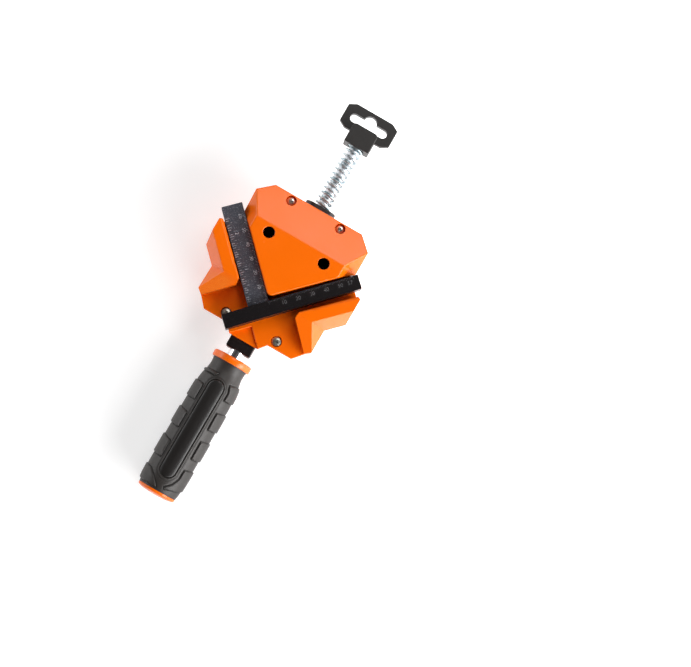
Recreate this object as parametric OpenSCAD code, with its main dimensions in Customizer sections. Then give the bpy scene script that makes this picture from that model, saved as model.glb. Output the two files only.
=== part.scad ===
// Screw-driven corner clamp. The centre block is bolted to the bench through two holes.
// The jaw casting slides under and around it along Y, drawn by a screw with a turning handle.
// X is across the clamp, Y runs along the screw from the handle to the hanging tab, Z is up.
// The origin is midway between the two bench holes, on the underside.

/* [Body] */
// Height of the screw axis above the bench
axis_h = 20; // [19.5:0.5:24]
// Thickness of the jaw casting's floor
floor_t = 3.8; // [3.4:0.1:5]
// Height of the jaws above that floor
jaw_h = 17.5; // [16.5:0.5:24]
// Width across the jaw casting
body_w = 111; // [108:0.5:120]
// Width across the waist between the jaws and their end arms
waist_w = 89.2; // [87:0.2:92]

/* [Centre block] */
// Width across the flared head
head_w = 88.4; // [86:0.2:92]
// Width across the flat part of the head
flat_w = 69.2; // [66:0.2:72]
// Distance from the bench holes to the sharp point of the V
apex_dist = 38.2; // [37:0.2:42]
// Distance from the bench holes to the rear wall
back_y = 31.6; // [31.6:0.2:38]
// Width of the rear wall
back_w = 68.2; // [64:0.2:74]
// Length of the head's straight sides
side_len = 16.2; // [12:0.2:18]
// Radius of the V's point
apex_r = 3.5; // [2:0.1:5]
// Fall of the rear slope
slope_drop = 6.5; // [4:0.1:8]
// Fall of the side corners
corner_drop = 15; // [11:0.1:16]
// Spacing of the two bench holes
hole_gap = 43; // [42:0.1:44]
// Diameter of the bench holes
hole_d = 8.2; // [6:0.1:8.8]
// Outside diameter of the boss round each bench hole
boss_d = 14; // [12:0.1:14.6]
// Diameter of the side sockets for clamp pins
socket_d = 8.4; // [6:0.1:9]
// Depth of the side sockets
socket_len = 19; // [12:0.5:20]

/* [Jaws] */
// Thickness of the work that the jaws are set for
bar_w = 14.6; // [14:0.1:17]
// Play between that work and the jaw
bar_play = 1.2; // [0.5:0.1:1.6]
// How far the jaws open from there, along the screw
travel = 27; // [15:1:28]
// Width of each jaw's flat top
jaw_top_w = 9; // [8:0.1:10]
// Width of each jaw's outer slope, seen from above
jaw_slope_w = 6.5; // [5.5:0.1:7.5]
// Distance along each jaw face to its outer end
jaw_end_p = 75.1; // [73:0.1:76]
// Distance along each jaw face to its inner corner
jaw_corner_p = 29.8; // [29:0.1:31]
// Reach of each end arm away from the work
arm_q = 27.8; // [27:0.1:28.5]
// Height of the end arms' low ends above the floor
arm_low_h = 5.5; // [3:0.1:9]
// Depth of the corner relief in the floor
relief_h = 2.5; // [1:0.1:3]

/* [Screw] */
// Diameter of the threaded screw
screw_d = 9; // [8:0.1:9.4]
// Diameter of the plain shaft at the handle
shaft_d = 11; // [9.8:0.1:11.6]
// Length of plain shaft left bare
shaft_show = 5.1; // [4:0.1:14]
// Width of the thrust block
block_w = 18.8; // [15:0.1:20]
// How far the thrust block stands out of the casting
block_proud = 8.1; // [4:0.1:12]
// Length of the thrust block
block_len = 24.9; // [23:0.1:26]

/* [Handle] */
// Length of the handle
handle_len = 107.9; // [98:0.1:125]
// Diameter of the front collar
collar_d = 28.6; // [24:0.1:31]
// Thickness of the front collar
collar_t = 4.9; // [2:0.1:6]
// Diameter of the grip
grip_d = 30.2; // [29:0.1:33]
// Diameter of the grip at its neck
neck_d = 24.6; // [22:0.1:26]
// How far the grip pads stand proud
pad_t = 0.9; // [0.4:0.1:1.4]
// Width of the smooth panels in the grip
panel_w = 11.6; // [9:0.1:13]
// Length of the smooth panels
panel_len = 75; // [60:0.5:78]

/* [Rear end] */
// Outside diameter of the spring
spring_d = 12.3; // [12.2:0.1:13]
// Diameter of the spring wire
wire_d = 1.4; // [1.1:0.1:1.5]
// Number of turns in the spring
spring_turns = 13; // [10:1:14]
// Spring length left over when the jaws are fully open
spring_spare = 6; // [4:0.1:12]
// Width of the nut's flange
flange_w = 22.8; // [22.6:0.1:28]
// Thickness of the nut's flange
flange_t = 4.8; // [3:0.1:6]
// Width of the tab's hood
hood_w = 19.4; // [17:0.1:22]
// Length of the tab's hood
hood_len = 14.7; // [14.5:0.1:18]
// Height of the tab's hood
hood_h = 18; // [16:0.1:20]
// Width of the hanging tab
tab_w = 39.2; // [38:0.1:39.4]
// Thickness of the hanging tab
tab_t = 6; // [4:0.1:7]
// Reach of the hanging tab behind its hood
tab_reach = 13.2; // [13:0.1:18]

/* [Ruled bars] */
// Thickness of each ruled bar
bar_t = 10.2; // [8:0.1:12]
// Length of the bar that passes the corner
long_bar_len = 97; // [80:0.5:105]
// How far that bar passes the corner
long_bar_past = 34; // [20:0.5:36]
// Length of the bar that butts against it
short_bar_len = 70.5; // [50:0.5:74]

/* [Hidden] */
$fn = 64;
rt2 = sqrt(2);
orange = "darkorange";
black = [0.12, 0.12, 0.13];
steel = "silver";

// Clearances
over = 1;              // overrun of a cut past the face it opens
fit = 0.02;            // between pieces fixed in one another
run_fit = 0.05;        // round pieces that turn in one another
slide_gap = 0.3;       // flat pieces that slide past one another
wide_gap = 0.5;        // room round a sliding piece that guides nothing

// Heights
screw_r = screw_d / 2;
screw_room = 1.7;      // room between the screw and the floor above it
floor_z = axis_h + screw_r + screw_room;
floor_h = floor_z + floor_t;
top_h = floor_h + jaw_h;
head_z = floor_h + slide_gap;
keeper_t = 4;
lip_gap = 0.6;         // between the keepers and the guide plate
plate_z = keeper_t + lip_gap;
plate_t = 4;
ped_z = plate_z + plate_t;

// Centre block
head_half = head_w / 2;
flat_half = flat_w / 2;
crease_y = head_half - apex_dist;
side_y = crease_y + side_len;
slope_run = back_y - crease_y;
corner_t = apex_r / rt2;
hole_x = hole_gap / 2;
rib_room = 4.4;        // room between the bosses and the casting's side ribs
rib_half = hole_x + boss_d / 2 + rib_room;
ped_room = 1.9;        // room between the pedestal and those ribs
ped_half = rib_half - ped_room;
ped_y = 8;             // front of the pedestal behind the bench holes
head_screw_x = 19.3;
head_screw_in = 4.4;   // rear screws from the rear wall
head_screw_y = back_y - head_screw_in;
counter_d = 7.2;
counter_drop = 4;      // floor of the counterbores under the lowest point of the slope
counter_z = top_h - slope_drop - counter_drop;
socket_y = 18;
plate_screw_x = 15;
plate_screw_y = 14;

// Opening and jaw casting; p runs along a jaw face and q away from the work
gap_w = bar_w + bar_play;
jaw_apex = apex_dist + gap_w * rt2;
body_half = body_w / 2;
waist_half = waist_w / 2;
relief_len = 11.3;     // front edge from the jaw faces' meeting point
front_y = -(jaw_apex + relief_len);
toe_in = 4.5;          // outward step of the front edge beside the relief
toe_rise = 5.7;
floor_half = 34.6;     // half width of the front edge
corner_cut_p = 3.7;    // chamfer of the jaws' inner corner
corner_cut_q = 3;
end_cut = 2.4;         // chamfer of the jaws' outer end
end_cut_y = 1.1;
notch_x = 34.5;        // top of the outer notch
floor_rear = ped_y - wide_gap;
jaw_q = jaw_top_w + jaw_slope_w;
notch_y = notch_x - jaw_apex - jaw_top_w * rt2;
notch_low_y = waist_half - jaw_apex - jaw_q * rt2;
arm_tip = [(jaw_corner_p + arm_q) / rt2, (jaw_corner_p - arm_q) / rt2 - jaw_apex];
arm_side_share = 0.82;
arm_side_y = arm_tip[1] + (waist_half - arm_tip[0]) * arm_side_share;
arm_fall = (jaw_h - arm_low_h) / (notch_y - arm_tip[1]);
arm_side_z = top_h - (notch_y - arm_side_y) * arm_fall;
rib_w = 7.1;
rib_out = rib_half + rib_w;
rib_set = 17.8;        // side ribs from the front edge
rib_front = front_y + rib_set;
rib_rear = floor_rear - wide_gap;
lip_w = 2.8;           // reach of the keepers under the guide plate
lip_half = rib_half - lip_w;
guide_half = rib_half - slide_gap;
jaw_foot_q = 5;        // the feet stand between the ribs and the widest sides
jaw_foot_p = (rib_out + 0.476 * (body_half - rib_out)) * rt2 - jaw_foot_q;
jaw_foot_r = 0.3226 * (body_half - rib_out);
floor_screw_x = 20;
floor_screw_in = 11;   // floor screws from the front edge
floor_screw_y = front_y + floor_screw_in;
floor_head_d = 6.9;
floor_head_room = 0.35;
floor_head_deep = 2.6;
keeper_screw_x = rib_half + rib_w / 2;
keeper_screw_ys = [for (share = [0.1, 0.5, 0.9]) rib_front + share * (rib_rear - rib_front)];

// Screw line, as places along Y
block_y = front_y - block_proud;
block_end_y = block_y + block_len;
collar_y = block_y - shaft_show;
handle_end_y = collar_y - handle_len;
ring_t = 1;
ring_gap = 0.1;
washer_t = 1;
washer_y = block_end_y + ring_gap;
ring_y = washer_y + washer_t + ring_gap;
cross_rib_y = ring_y + ring_t + 1.2 * ring_t;
cross_rib_t = 4;
guide_front = cross_rib_y + cross_rib_t + 2 * wide_gap;
bush_r = screw_r + 0.65 * screw_room;
shaft_r = shaft_d / 2;
shaft_in = 4;          // depth of the plain shaft's seat in the thrust block
shaft_room = slide_gap;
block_top = floor_z - 2 * ring_gap;
block_drop = 8;
block_low = axis_h - block_drop;
wing_half = 26;
wing_t = 8;
wing_len = 9.5;
wing_front = front_y + toe_rise + 1.6;
screw_in_handle = 36;
nut_len = 20;
nut_r = 7;
nut_pin_x = 9.3;
nut_pin_r = 1.2;
nut_pin_in = 5;
flange_half = flange_w / 2;
flange_h = 13.2;
flange_y = back_y + flange_t;
spring_len = travel + spring_turns * wire_d + spring_spare;
spring_end_y = flange_y + spring_len;
hood_pocket = 3.4;
hood_y = spring_end_y - hood_pocket;
hood_rear = hood_y + hood_len;
hood_wall = 2.8;
stub_r = 3;
nut_room_y = spring_end_y + hood_wall;
tab_washer_t = 0.8;
tab_washer_y = nut_room_y + 2 * ring_gap;
lock_nut_y = tab_washer_y + tab_washer_t + ring_gap;
lock_nut_t = 4.4;
lock_nut_af = 10;
stub_end_y = lock_nut_y + lock_nut_t + 0.4 * ring_t;
nut_room_half = 6.5;
nut_room_end = stub_end_y + 0.6 * ring_t;
slot_r = 3.2;
slot_x = 11.2;
slot_y = hood_rear + slot_r + 0.1 * slot_r;
slot_mid_r = 4.85;
slot_mid_rise = 2.2;

// Handle, as distances from the collar's front face
core_r = 8.5;
cap_t = 3.4;
cap_r = collar_d / 2 - 0.4;
cap_rim = 1.6;
cap_dome = 1.4;
plug_len = 10;
plug_r = 6;
grip_len = handle_len - collar_t - cap_t;
grip_r = grip_d / 2;
neck_r = neck_d / 2;
pad_r = grip_r + pad_t;
pin_at = 16;
pin_r = 1.5;
// Half the pin, so that its flat ends stay inside the tube
pin_half = sqrt(pow(core_r, 2) - pow(pin_r, 2)) - fit;
panel_at = 18.9;
panel_proud = 0.5;
panel_deep = 1.4;
// Grip outline: distance along it as a share, and radius between neck (0) and body (1) as a share
grip_shares = [[0, 0.25], [0.04, 0.02], [0.075, 0], [0.11, 0.22], [0.15, 0.62], [0.2, 0.86], [0.28, 0.95],
  [0.45, 1], [0.85, 1], [0.94, 0.9], [0.98, 0.72], [1, 0.55]];
// Pads seen from above: distance along the handle and place across it, as shares
left_pad_shares = [
  [[0.142, 0.2], [0.164, 0.4], [0.158, 1.1], [0.14, 1.1]],
  [[0.225, 1.1], [0.248, 0.585], [0.358, 0.585], [0.348, 1.1]],
  [[0.414, 1.1], [0.451, 0.585], [0.559, 0.585], [0.543, 1.1]],
  [[0.613, 1.1], [0.655, 0.585], [0.773, 0.585], [0.754, 1.1]],
  [[0.832, 1.1], [0.862, 0.72], [0.895, 0.44], [0.925, 0.24], [0.953, 0.09], [0.95, 1.1]]];
right_pad_shares = [
  [[0.148, 1.1], [0.174, 0.53], [0.225, 0.63], [0.276, 0.62], [0.267, 1.1]],
  [[0.339, 1.1], [0.366, 0.62], [0.484, 0.63], [0.47, 1.1]],
  [[0.54, 1.1], [0.57, 0.635], [0.695, 0.64], [0.682, 1.1]],
  [[0.747, 1.1], [0.776, 0.65], [0.845, 0.63], [0.891, 0.49], [0.929, 0.22], [0.939, 0.26], [0.886, 1.1]]];

// A point on the right-hand jaw from its p and q
function jaw_pt(p, q) = [(p + q) / rt2, (p - q) / rt2 - jaw_apex];
function flip(points) = [for (i = [len(points) - 1:-1:0]) [-points[i][0], points[i][1]]];
function unit(v) = v / norm(v);

// Copies on both sides of the clamp
module both() {
  children();
  mirror([1, 0, 0]) children();
}

// Turns a shape standing on Z so that it lies on the screw line, from y towards the tab
module along(y) {
  translate([0, y, axis_h]) rotate([-90, 0, 0]) children();
}

module rod(y0, y1, r) {
  along(y0) cylinder(r = r, h = y1 - y0);
}

module ring(y0, y1, r_out, r_in) {
  along(y0) difference() {
    cylinder(r = r_out, h = y1 - y0);
    translate([0, 0, -over]) cylinder(r = r_in, h = y1 - y0 + 2 * over);
  }
}

// Everything above the plane through three points, as a large block
module above(a, b, c) {
  n0 = cross(b - a, c - a);
  n = unit(n0[2] > 0 ? n0 : -n0);
  size = 2 * body_w;
  translate(a) rotate([0, acos(n[2]), atan2(n[1], n[0])])
    translate([-size / 2, -size / 2, 0]) cube(size);
}

// Screw with a round head: head_r, head_h, shank_r, shank_len downwards from z, cross recess in the top
module round_screw(head_r, head_h, shank_r, shank_len) {
  recess_w = head_r * 0.28;
  recess_l = head_r * 1.2;
  difference() {
    union() {
      translate([0, 0, -head_h]) cylinder(r = head_r, h = head_h);
      translate([0, 0, -head_h - shank_len]) cylinder(r = shank_r, h = shank_len + head_h / 2);
    }
    for (turn = [0, 90])
      rotate([0, 0, turn]) translate([-recess_l / 2, -recess_w / 2, -head_h / 2])
        cube([recess_l, recess_w, head_h]);
  }
}

// Countersunk screw pointing up from z
module flat_screw(head_r, shank_r, len) {
  union() {
    cylinder(r1 = head_r, r2 = shank_r, h = head_r - shank_r);
    cylinder(r = shank_r, h = len);
  }
}

module head_outline() {
  half = [[corner_t, corner_t - apex_dist], [head_half, crease_y], [head_half, side_y], [back_w / 2, back_y]];
  translate([0, apex_r * rt2 - apex_dist]) circle(r = apex_r);
  polygon(concat(half, flip(half)));
}

// The sloping facets of the head: rear slope, and two facets at each side corner
module head_facets() {
  crease = [flat_half, crease_y, top_h];
  low = [head_half, crease_y, top_h - corner_drop];
  high = [head_half, side_y, top_h - slope_drop * side_len / slope_run];
  run = slope_run * 2;
  rotate([90, 0, 90]) translate([0, 0, -body_half]) linear_extrude(body_w)
    polygon([[crease_y, top_h], [crease_y + run, top_h - slope_drop * run / slope_run],
      [crease_y + run, top_h + jaw_h], [crease_y, top_h + jaw_h]]);
  both() intersection() {
    above(crease, low, high);
    above(crease, low, crease - [0, flat_half, 0]);
  }
}

module centre_block() {
  color(orange) difference() {
    union() {
      difference() {
        translate([0, 0, head_z]) linear_extrude(top_h - head_z) head_outline();
        head_facets();
      }
      translate([-ped_half, ped_y, ped_z]) cube([2 * ped_half, back_y - ped_y, head_z - ped_z + over]);
      both() translate([hole_x, 0, ped_z]) {
        cylinder(d = boss_d, h = head_z - ped_z + over);
        translate([-boss_d / 2, 0, 0]) cube([boss_d, ped_y + over, head_z - ped_z + over]);
      }
    }
    both() {
      translate([hole_x, 0, ped_z - over]) cylinder(d = hole_d, h = top_h);
      translate([head_screw_x, head_screw_y, counter_z]) cylinder(d = counter_d, h = top_h);
      translate([head_screw_x, head_screw_y, ped_z - over]) cylinder(r = head_shank_r + run_fit, h = top_h);
      translate([plate_screw_x, plate_screw_y, ped_z - over])
        cylinder(r = plate_shank_r + fit, h = plate_screw_bite + 2 * over);
      translate([ped_half + over, socket_y, axis_h]) rotate([0, -90, 0])
        cylinder(d = socket_d, h = socket_len + over);
      translate([nut_pin_x, 0, 0]) rod(back_y - nut_pin_in - fit, back_y + over, nut_pin_r + fit);
    }
    rod(back_y - nut_len - fit, back_y + over, nut_r + fit);
    rod(ped_y - over, back_y, screw_r + wide_gap);
  }
}

head_shank_r = 2.4;
head_screw_r = 3;
head_screw_h = 2.4;
plate_shank_r = 1.95;
plate_head_r = 3.6;
plate_screw_bite = 6;

module guide_plate() {
  foot_r = boss_d / 2 + 1.4 * (boss_d / 14);
  bar_front = head_screw_y - head_screw_in;
  color(black) difference() {
    union() {
      translate([-guide_half, guide_front, plate_z]) cube([2 * guide_half, back_y - guide_front, plate_t]);
      both() translate([hole_x, 0, 0]) cylinder(r = min(foot_r, lip_half - hole_x - slide_gap), h = ped_z);
      translate([-lip_half, bar_front, 0]) cube([2 * lip_half, back_y - bar_front, ped_z]);
    }
    both() {
      translate([hole_x, 0, -over]) cylinder(d = hole_d, h = ped_z + 2 * over);
      translate([head_screw_x, head_screw_y, plate_t / 4]) cylinder(r = head_shank_r + fit, h = ped_z);
      translate([plate_screw_x, plate_screw_y, plate_z - fit])
        flat_screw(plate_head_r + run_fit, plate_shank_r + run_fit, plate_t + over);
    }
  }
}

module block_screws() {
  color(steel) both() translate([head_screw_x, head_screw_y, counter_z + head_screw_h])
    round_screw(head_screw_r, head_screw_h, head_shank_r, counter_z - plate_t / 2);
}

module plate_screws() {
  color(steel) both() translate([plate_screw_x, plate_screw_y, plate_z])
    flat_screw(plate_head_r, plate_shank_r, plate_t + plate_screw_bite);
}

module screw_nut() {
  lobe_r = flange_h / 2;
  color(black) difference() {
    union() {
      rod(back_y - nut_len, back_y + flange_t / 2, nut_r);
      along(back_y) {
        both() translate([flange_half - lobe_r, 0, 0]) cylinder(r = lobe_r, h = flange_t);
        translate([lobe_r - flange_half, -lobe_r, 0]) cube([2 * (flange_half - lobe_r), flange_h, flange_t]);
      }
    }
    rod(back_y - nut_len - over, flange_y + over, screw_r + run_fit);
    both() translate([nut_pin_x, 0, 0]) rod(back_y - over, flange_y - wire_d, nut_pin_r + fit);
  }
}

module nut_pins() {
  color(steel) both() translate([nut_pin_x, 0, 0]) rod(back_y - nut_pin_in, flange_y - wire_d - fit, nut_pin_r);
}

module floor_outline() {
  half = [[relief_len, front_y], [relief_len + toe_in, front_y + toe_rise], [floor_half, front_y + toe_rise],
    arm_tip, [waist_half, arm_side_y], [waist_half, notch_low_y], [body_half, body_half - jaw_apex - jaw_q * rt2],
    [body_half, jaw_end[1] - end_cut_y], jaw_end, [jaw_end[0] - (floor_rear - jaw_end[1]), floor_rear]];
  polygon(concat(half, flip(half)));
}

jaw_end = jaw_pt(jaw_end_p, 0);

// The long arm of the right-hand jaw, with its outer slope
module jaw_arm() {
  tuck = [waist_half - jaw_slope_w / 2, notch_low_y - jaw_slope_w / 2];
  difference() {
    translate([0, 0, floor_z]) linear_extrude(top_h - floor_z)
      polygon([jaw_pt(jaw_corner_p + corner_cut_p, 0), [notch_x, notch_y], tuck, [waist_half, notch_low_y],
        [body_half, body_half - jaw_apex - jaw_q * rt2], [body_half, jaw_end[1] - end_cut_y], jaw_end]);
    above(concat(jaw_pt(0, jaw_top_w), top_h), concat(jaw_pt(body_w, jaw_top_w), top_h),
      concat(jaw_pt(0, jaw_q), floor_h));
  }
}

// The short end arm of the right-hand jaw, falling towards the handle
module end_arm() {
  inner = jaw_corner_p + corner_cut_p;
  run = 2 * (notch_y - arm_tip[1]);
  difference() {
    translate([0, 0, floor_z]) linear_extrude(top_h - floor_z)
      polygon([jaw_pt(inner, 0), jaw_pt(jaw_corner_p, corner_cut_q), arm_tip, [waist_half, arm_side_y],
        [waist_half, notch_low_y], [notch_x, notch_y], jaw_pt(inner + jaw_top_w, jaw_top_w * 0.9),
        jaw_pt(inner + jaw_top_w, 0)]);
    rotate([90, 0, 90]) linear_extrude(body_half)
      polygon([[notch_y, top_h], [notch_y, top_h + jaw_h], [notch_y - run, top_h + jaw_h],
        [notch_y - run, top_h - run * arm_fall]]);
    above([notch_x, notch_y, top_h], [waist_half, notch_low_y, floor_h], [waist_half, arm_side_y, arm_side_z]);
  }
}

module jaw_casting() {
  notch_r = boss_d / 2 + wide_gap;
  color(orange) difference() {
    union() {
      translate([0, 0, floor_z]) linear_extrude(floor_t) floor_outline();
      both() {
        jaw_arm();
        end_arm();
        translate([rib_half, rib_front, keeper_t]) cube([rib_out - rib_half, rib_rear - rib_front, floor_h - keeper_t]);
        translate(concat(jaw_pt(jaw_foot_p, jaw_foot_q), 0)) cylinder(r = jaw_foot_r, h = floor_h);
      }
      translate([-rib_half - over, cross_rib_y, ped_z + wide_gap])
        cube([2 * (rib_half + over), cross_rib_t, floor_h - ped_z - wide_gap]);
    }
    translate([0, 0, floor_h - relief_h]) linear_extrude(jaw_h)
      polygon([[0, -jaw_apex], [relief_len * 2, -jaw_apex - relief_len * 2], [-relief_len * 2, -jaw_apex - relief_len * 2]]);
    both() {
      translate([hole_x, 0, floor_z - over]) {
        cylinder(r = notch_r, h = floor_t + 2 * over);
        translate([-notch_r, 0, 0]) cube([2 * notch_r, ped_y + over, floor_t + 2 * over]);
      }
      translate([floor_screw_x, floor_screw_y, floor_h - floor_head_deep]) {
        cylinder(r = floor_head_d / 2 + floor_head_room, h = jaw_h);
        translate([0, 0, -floor_t]) cylinder(r = floor_shank_r + run_fit, h = floor_t + over);
      }
      for (y = keeper_screw_ys)
        translate([keeper_screw_x, y, keeper_t - over]) cylinder(r = keeper_shank_r + fit, h = keeper_bite + 2 * over);
    }
    rod(cross_rib_y - over, cross_rib_y + cross_rib_t + over, screw_r + 3 * wide_gap);
  }
}

floor_shank_r = 1.95;
keeper_shank_r = 1.45;
keeper_head_r = 2.8;
keeper_bite = 8;

module thrust_block() {
  bore_r = bush_r + fit;
  color(black) difference() {
    union() {
      translate([-block_w / 2, block_y, block_low]) cube([block_w, block_len, block_top - block_low]);
      translate([-wing_half, wing_front, floor_z - wing_t]) cube([2 * wing_half, wing_len, wing_t]);
    }
    rod(block_y - over, block_y + shaft_in, shaft_r + shaft_room);
    rod(block_y + shaft_in - fit, block_end_y + over, bore_r);
    both() translate([floor_screw_x, floor_screw_y, floor_z - wing_t / 2 - wing_t / 4])
      cylinder(r = floor_shank_r + fit, h = wing_t + over);
  }
}

module thrust_bush() {
  color("peru") ring(block_y + shaft_in, block_end_y, bush_r, screw_r + run_fit);
}

module floor_screws() {
  head_h = floor_head_deep - slide_gap;
  color(steel) both() translate([floor_screw_x, floor_screw_y, floor_h - slide_gap])
    round_screw(floor_head_d / 2, head_h, floor_shank_r, floor_t + wing_t / 2 - head_h);
}

// The right-hand keeper strip
module keeper() {
  difference() {
    translate([lip_half, rib_front, 0]) cube([rib_out - lip_half, rib_rear - rib_front, keeper_t]);
    for (y = keeper_screw_ys)
      translate([keeper_screw_x, y, -fit]) flat_screw(keeper_head_r + run_fit, keeper_shank_r + run_fit, keeper_t + over);
  }
}

module keeper_left() {
  color(steel) mirror([1, 0, 0]) keeper();
}

module keeper_right() {
  color(steel) keeper();
}

module keeper_screws() {
  color(steel) both() for (y = keeper_screw_ys)
    translate([keeper_screw_x, y, 0]) flat_screw(keeper_head_r, keeper_shank_r, keeper_t + keeper_bite);
}

groove_r = screw_r - 0.6 * (screw_d / 9);

module lead_screw() {
  color(steel) difference() {
    union() {
      rod(collar_y - screw_in_handle, spring_end_y - ring_gap, screw_r);
      rod(collar_y, block_y + shaft_in - washer_t - ring_gap, shaft_r);
      rod(spring_end_y - over, stub_end_y, stub_r);
    }
    ring(ring_y - ring_gap / 2, ring_y + ring_t + ring_gap / 2, screw_d, groove_r);
    translate([-screw_d, collar_y - pin_at, axis_h]) rotate([0, 90, 0]) cylinder(r = pin_r + fit, h = 2 * screw_d);
  }
}

module front_washer() {
  y = block_y + shaft_in - washer_t;
  color("peru") ring(y, y + washer_t - fit, shaft_r + shaft_room / 2, screw_r + run_fit);
}

module rear_washer() {
  color("peru") ring(washer_y, washer_y + washer_t, bush_r + 0.2 * ring_t, screw_r + run_fit);
}

module snap_ring() {
  gap = groove_r;
  color(steel) difference() {
    ring(ring_y, ring_y + ring_t, bush_r + 0.3 * ring_t, groove_r + fit);
    translate([-gap / 2, ring_y - over, axis_h - bush_r * 2]) cube([gap, ring_t + 2 * over, bush_r * 2]);
  }
}

module handle_core() {
  y = collar_y;
  color(orange) difference() {
    union() {
      rod(y - collar_t, y, collar_d / 2);
      rod(y - handle_len + cap_t, y - collar_t / 2, core_r);
    }
    rod(y - screw_in_handle - over, y + over, screw_r + fit);
    rod(y - handle_len, y - handle_len + cap_t + plug_len + over, plug_r + fit);
    translate([-core_r - over, y - pin_at, axis_h]) rotate([0, 90, 0])
      cylinder(r = pin_r + fit, h = 2 * (core_r + over));
  }
}

module pad_prisms(shares, side) {
  for (pad = shares)
    translate([0, collar_y, axis_h - grip_d]) linear_extrude(2 * grip_d)
      polygon([for (s = pad) [side * s[1] * pad_r, -s[0] * handle_len]]);
}

module panel_outline(grow) {
  r = panel_w / 2 + grow;
  near = collar_y - panel_at - panel_w / 2;
  far = collar_y - panel_at - panel_len + panel_w / 2;
  translate([0, near]) circle(r = r);
  translate([0, far]) circle(r = r);
  translate([-r, far]) square([2 * r, near - far]);
}

module grip_sleeve() {
  y = collar_y - collar_t;
  profile = [for (s = grip_shares) [neck_r + s[1] * (grip_r - neck_r), s[0] * grip_len]];
  color([0.28, 0.26, 0.25]) difference() {
    union() {
      translate([0, y, axis_h]) rotate([90, 0, 0]) rotate_extrude()
        polygon(concat([[core_r + fit, 0]], profile, [[core_r + fit, grip_len]]));
      intersection() {
        union() {
          pad_prisms(left_pad_shares, -1);
          pad_prisms(right_pad_shares, 1);
        }
        ring(y - grip_len * 0.97, y - grip_len * 0.08, pad_r, core_r + fit);
      }
    }
    for (up = [0, 1])
      translate([0, 0, axis_h]) mirror([0, 0, up]) translate([0, 0, grip_r - panel_deep])
        linear_extrude(grip_d) panel_outline(fit);
  }
}

module grip_panels() {
  color(black) for (up = [0, 1])
    translate([0, 0, axis_h]) mirror([0, 0, up]) intersection() {
      translate([0, 0, grip_r - panel_deep]) linear_extrude(grip_d) panel_outline(0);
      translate([0, collar_y, 0]) rotate([90, 0, 0]) cylinder(r = grip_r + panel_proud, h = handle_len);
    }
}

module handle_end_cap() {
  y = collar_y - handle_len;
  r = cap_r;
  color(orange) translate([0, y + cap_t + plug_len, axis_h]) rotate([90, 0, 0]) rotate_extrude()
    polygon([[0, 0], [plug_r, 0], [plug_r, plug_len + fit], [r, plug_len + fit], [r, plug_len + cap_rim],
      [r - cap_dome, plug_len + cap_t - cap_dome / 3], [r * 0.55, plug_len + cap_t], [0, plug_len + cap_t]]);
}

module handle_pin() {
  color(steel) translate([-pin_half, collar_y - pin_at, axis_h]) rotate([0, 90, 0])
    cylinder(r = pin_r, h = 2 * pin_half);
}

module tab_washer() {
  color(steel) ring(tab_washer_y, tab_washer_y + tab_washer_t, lock_nut_af / 2 + 0.5 * ring_t, stub_r + run_fit);
}

module lock_nut() {
  color(steel) along(lock_nut_y) difference() {
    cylinder(d = lock_nut_af / cos(30), h = lock_nut_t, $fn = 6);
    translate([0, 0, -over]) cylinder(r = stub_r + fit, h = lock_nut_t + 2 * over);
  }
}

module tab_outline() {
  half = tab_w / 2;
  far = hood_rear + tab_reach;
  near = hood_rear - hood_len * 0.36;
  corner = tab_reach * 0.22;
  side = [[half * 0.74, near], [half, near + corner], [half, far - corner], [half * 0.725, far]];
  difference() {
    polygon(concat(side, flip(side)));
    for (x = [-slot_x, slot_x]) translate([x, slot_y]) circle(r = slot_r);
    translate([-slot_x, slot_y - slot_r]) square([2 * slot_x, 2 * slot_r]);
    translate([0, slot_y + slot_mid_rise]) circle(r = slot_mid_r);
  }
}

module hang_tab() {
  half = hood_w / 2;
  cut = hood_w * 0.13;
  side = [[half, hood_y], [half, hood_rear - cut], [half - cut, hood_rear]];
  color(black) difference() {
    union() {
      translate([0, 0, axis_h - tab_t / 2]) linear_extrude(tab_t) tab_outline();
      translate([0, 0, axis_h - hood_h / 2]) linear_extrude(hood_h) polygon(concat(side, flip(side)));
    }
    rod(hood_y - over, spring_end_y, spring_d / 2 + slide_gap);
    rod(hood_y, nut_room_y + over, stub_r + run_fit);
    translate([-nut_room_half, nut_room_y, axis_h - hood_h])
      cube([2 * nut_room_half, nut_room_end - nut_room_y, hood_h + nut_room_half]);
  }
}

// Spring: a round wire swept along a helix
spring_steps = 15;
wire_sides = 6;
function coil_point(t) = let (a = 360 * spring_turns * t, r = (spring_d - wire_d) / 2)
  [r * cos(a), flange_y + wire_d / 2 + fit + (spring_len - wire_d - 2 * fit) * t, axis_h + r * sin(a)];
function coil_ring(t) = let (a = 360 * spring_turns * t, c = coil_point(t), out = [cos(a), 0, sin(a)],
    way = unit([-sin(a) * PI * (spring_d - wire_d) * spring_turns, spring_len, cos(a) * PI * (spring_d - wire_d) * spring_turns]),
    side = cross(way, out))
  [for (k = [0:wire_sides - 1]) let (b = 360 * k / wire_sides) c + wire_d / 2 * (out * cos(b) + side * sin(b))];

module return_spring() {
  n = spring_turns * spring_steps;
  points = [for (i = [0:n]) each coil_ring(i / n)];
  walls = [for (i = [0:n - 1], k = [0:wire_sides - 1]) let (m = (k + 1) % wire_sides)
    [i * wire_sides + k, i * wire_sides + m, (i + 1) * wire_sides + m, (i + 1) * wire_sides + k]];
  ends = [[for (k = [wire_sides - 1:-1:0]) k], [for (k = [0:wire_sides - 1]) n * wire_sides + k]];
  color(steel) polyhedron(points, concat(walls, ends), convexity = 8);
}

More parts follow.
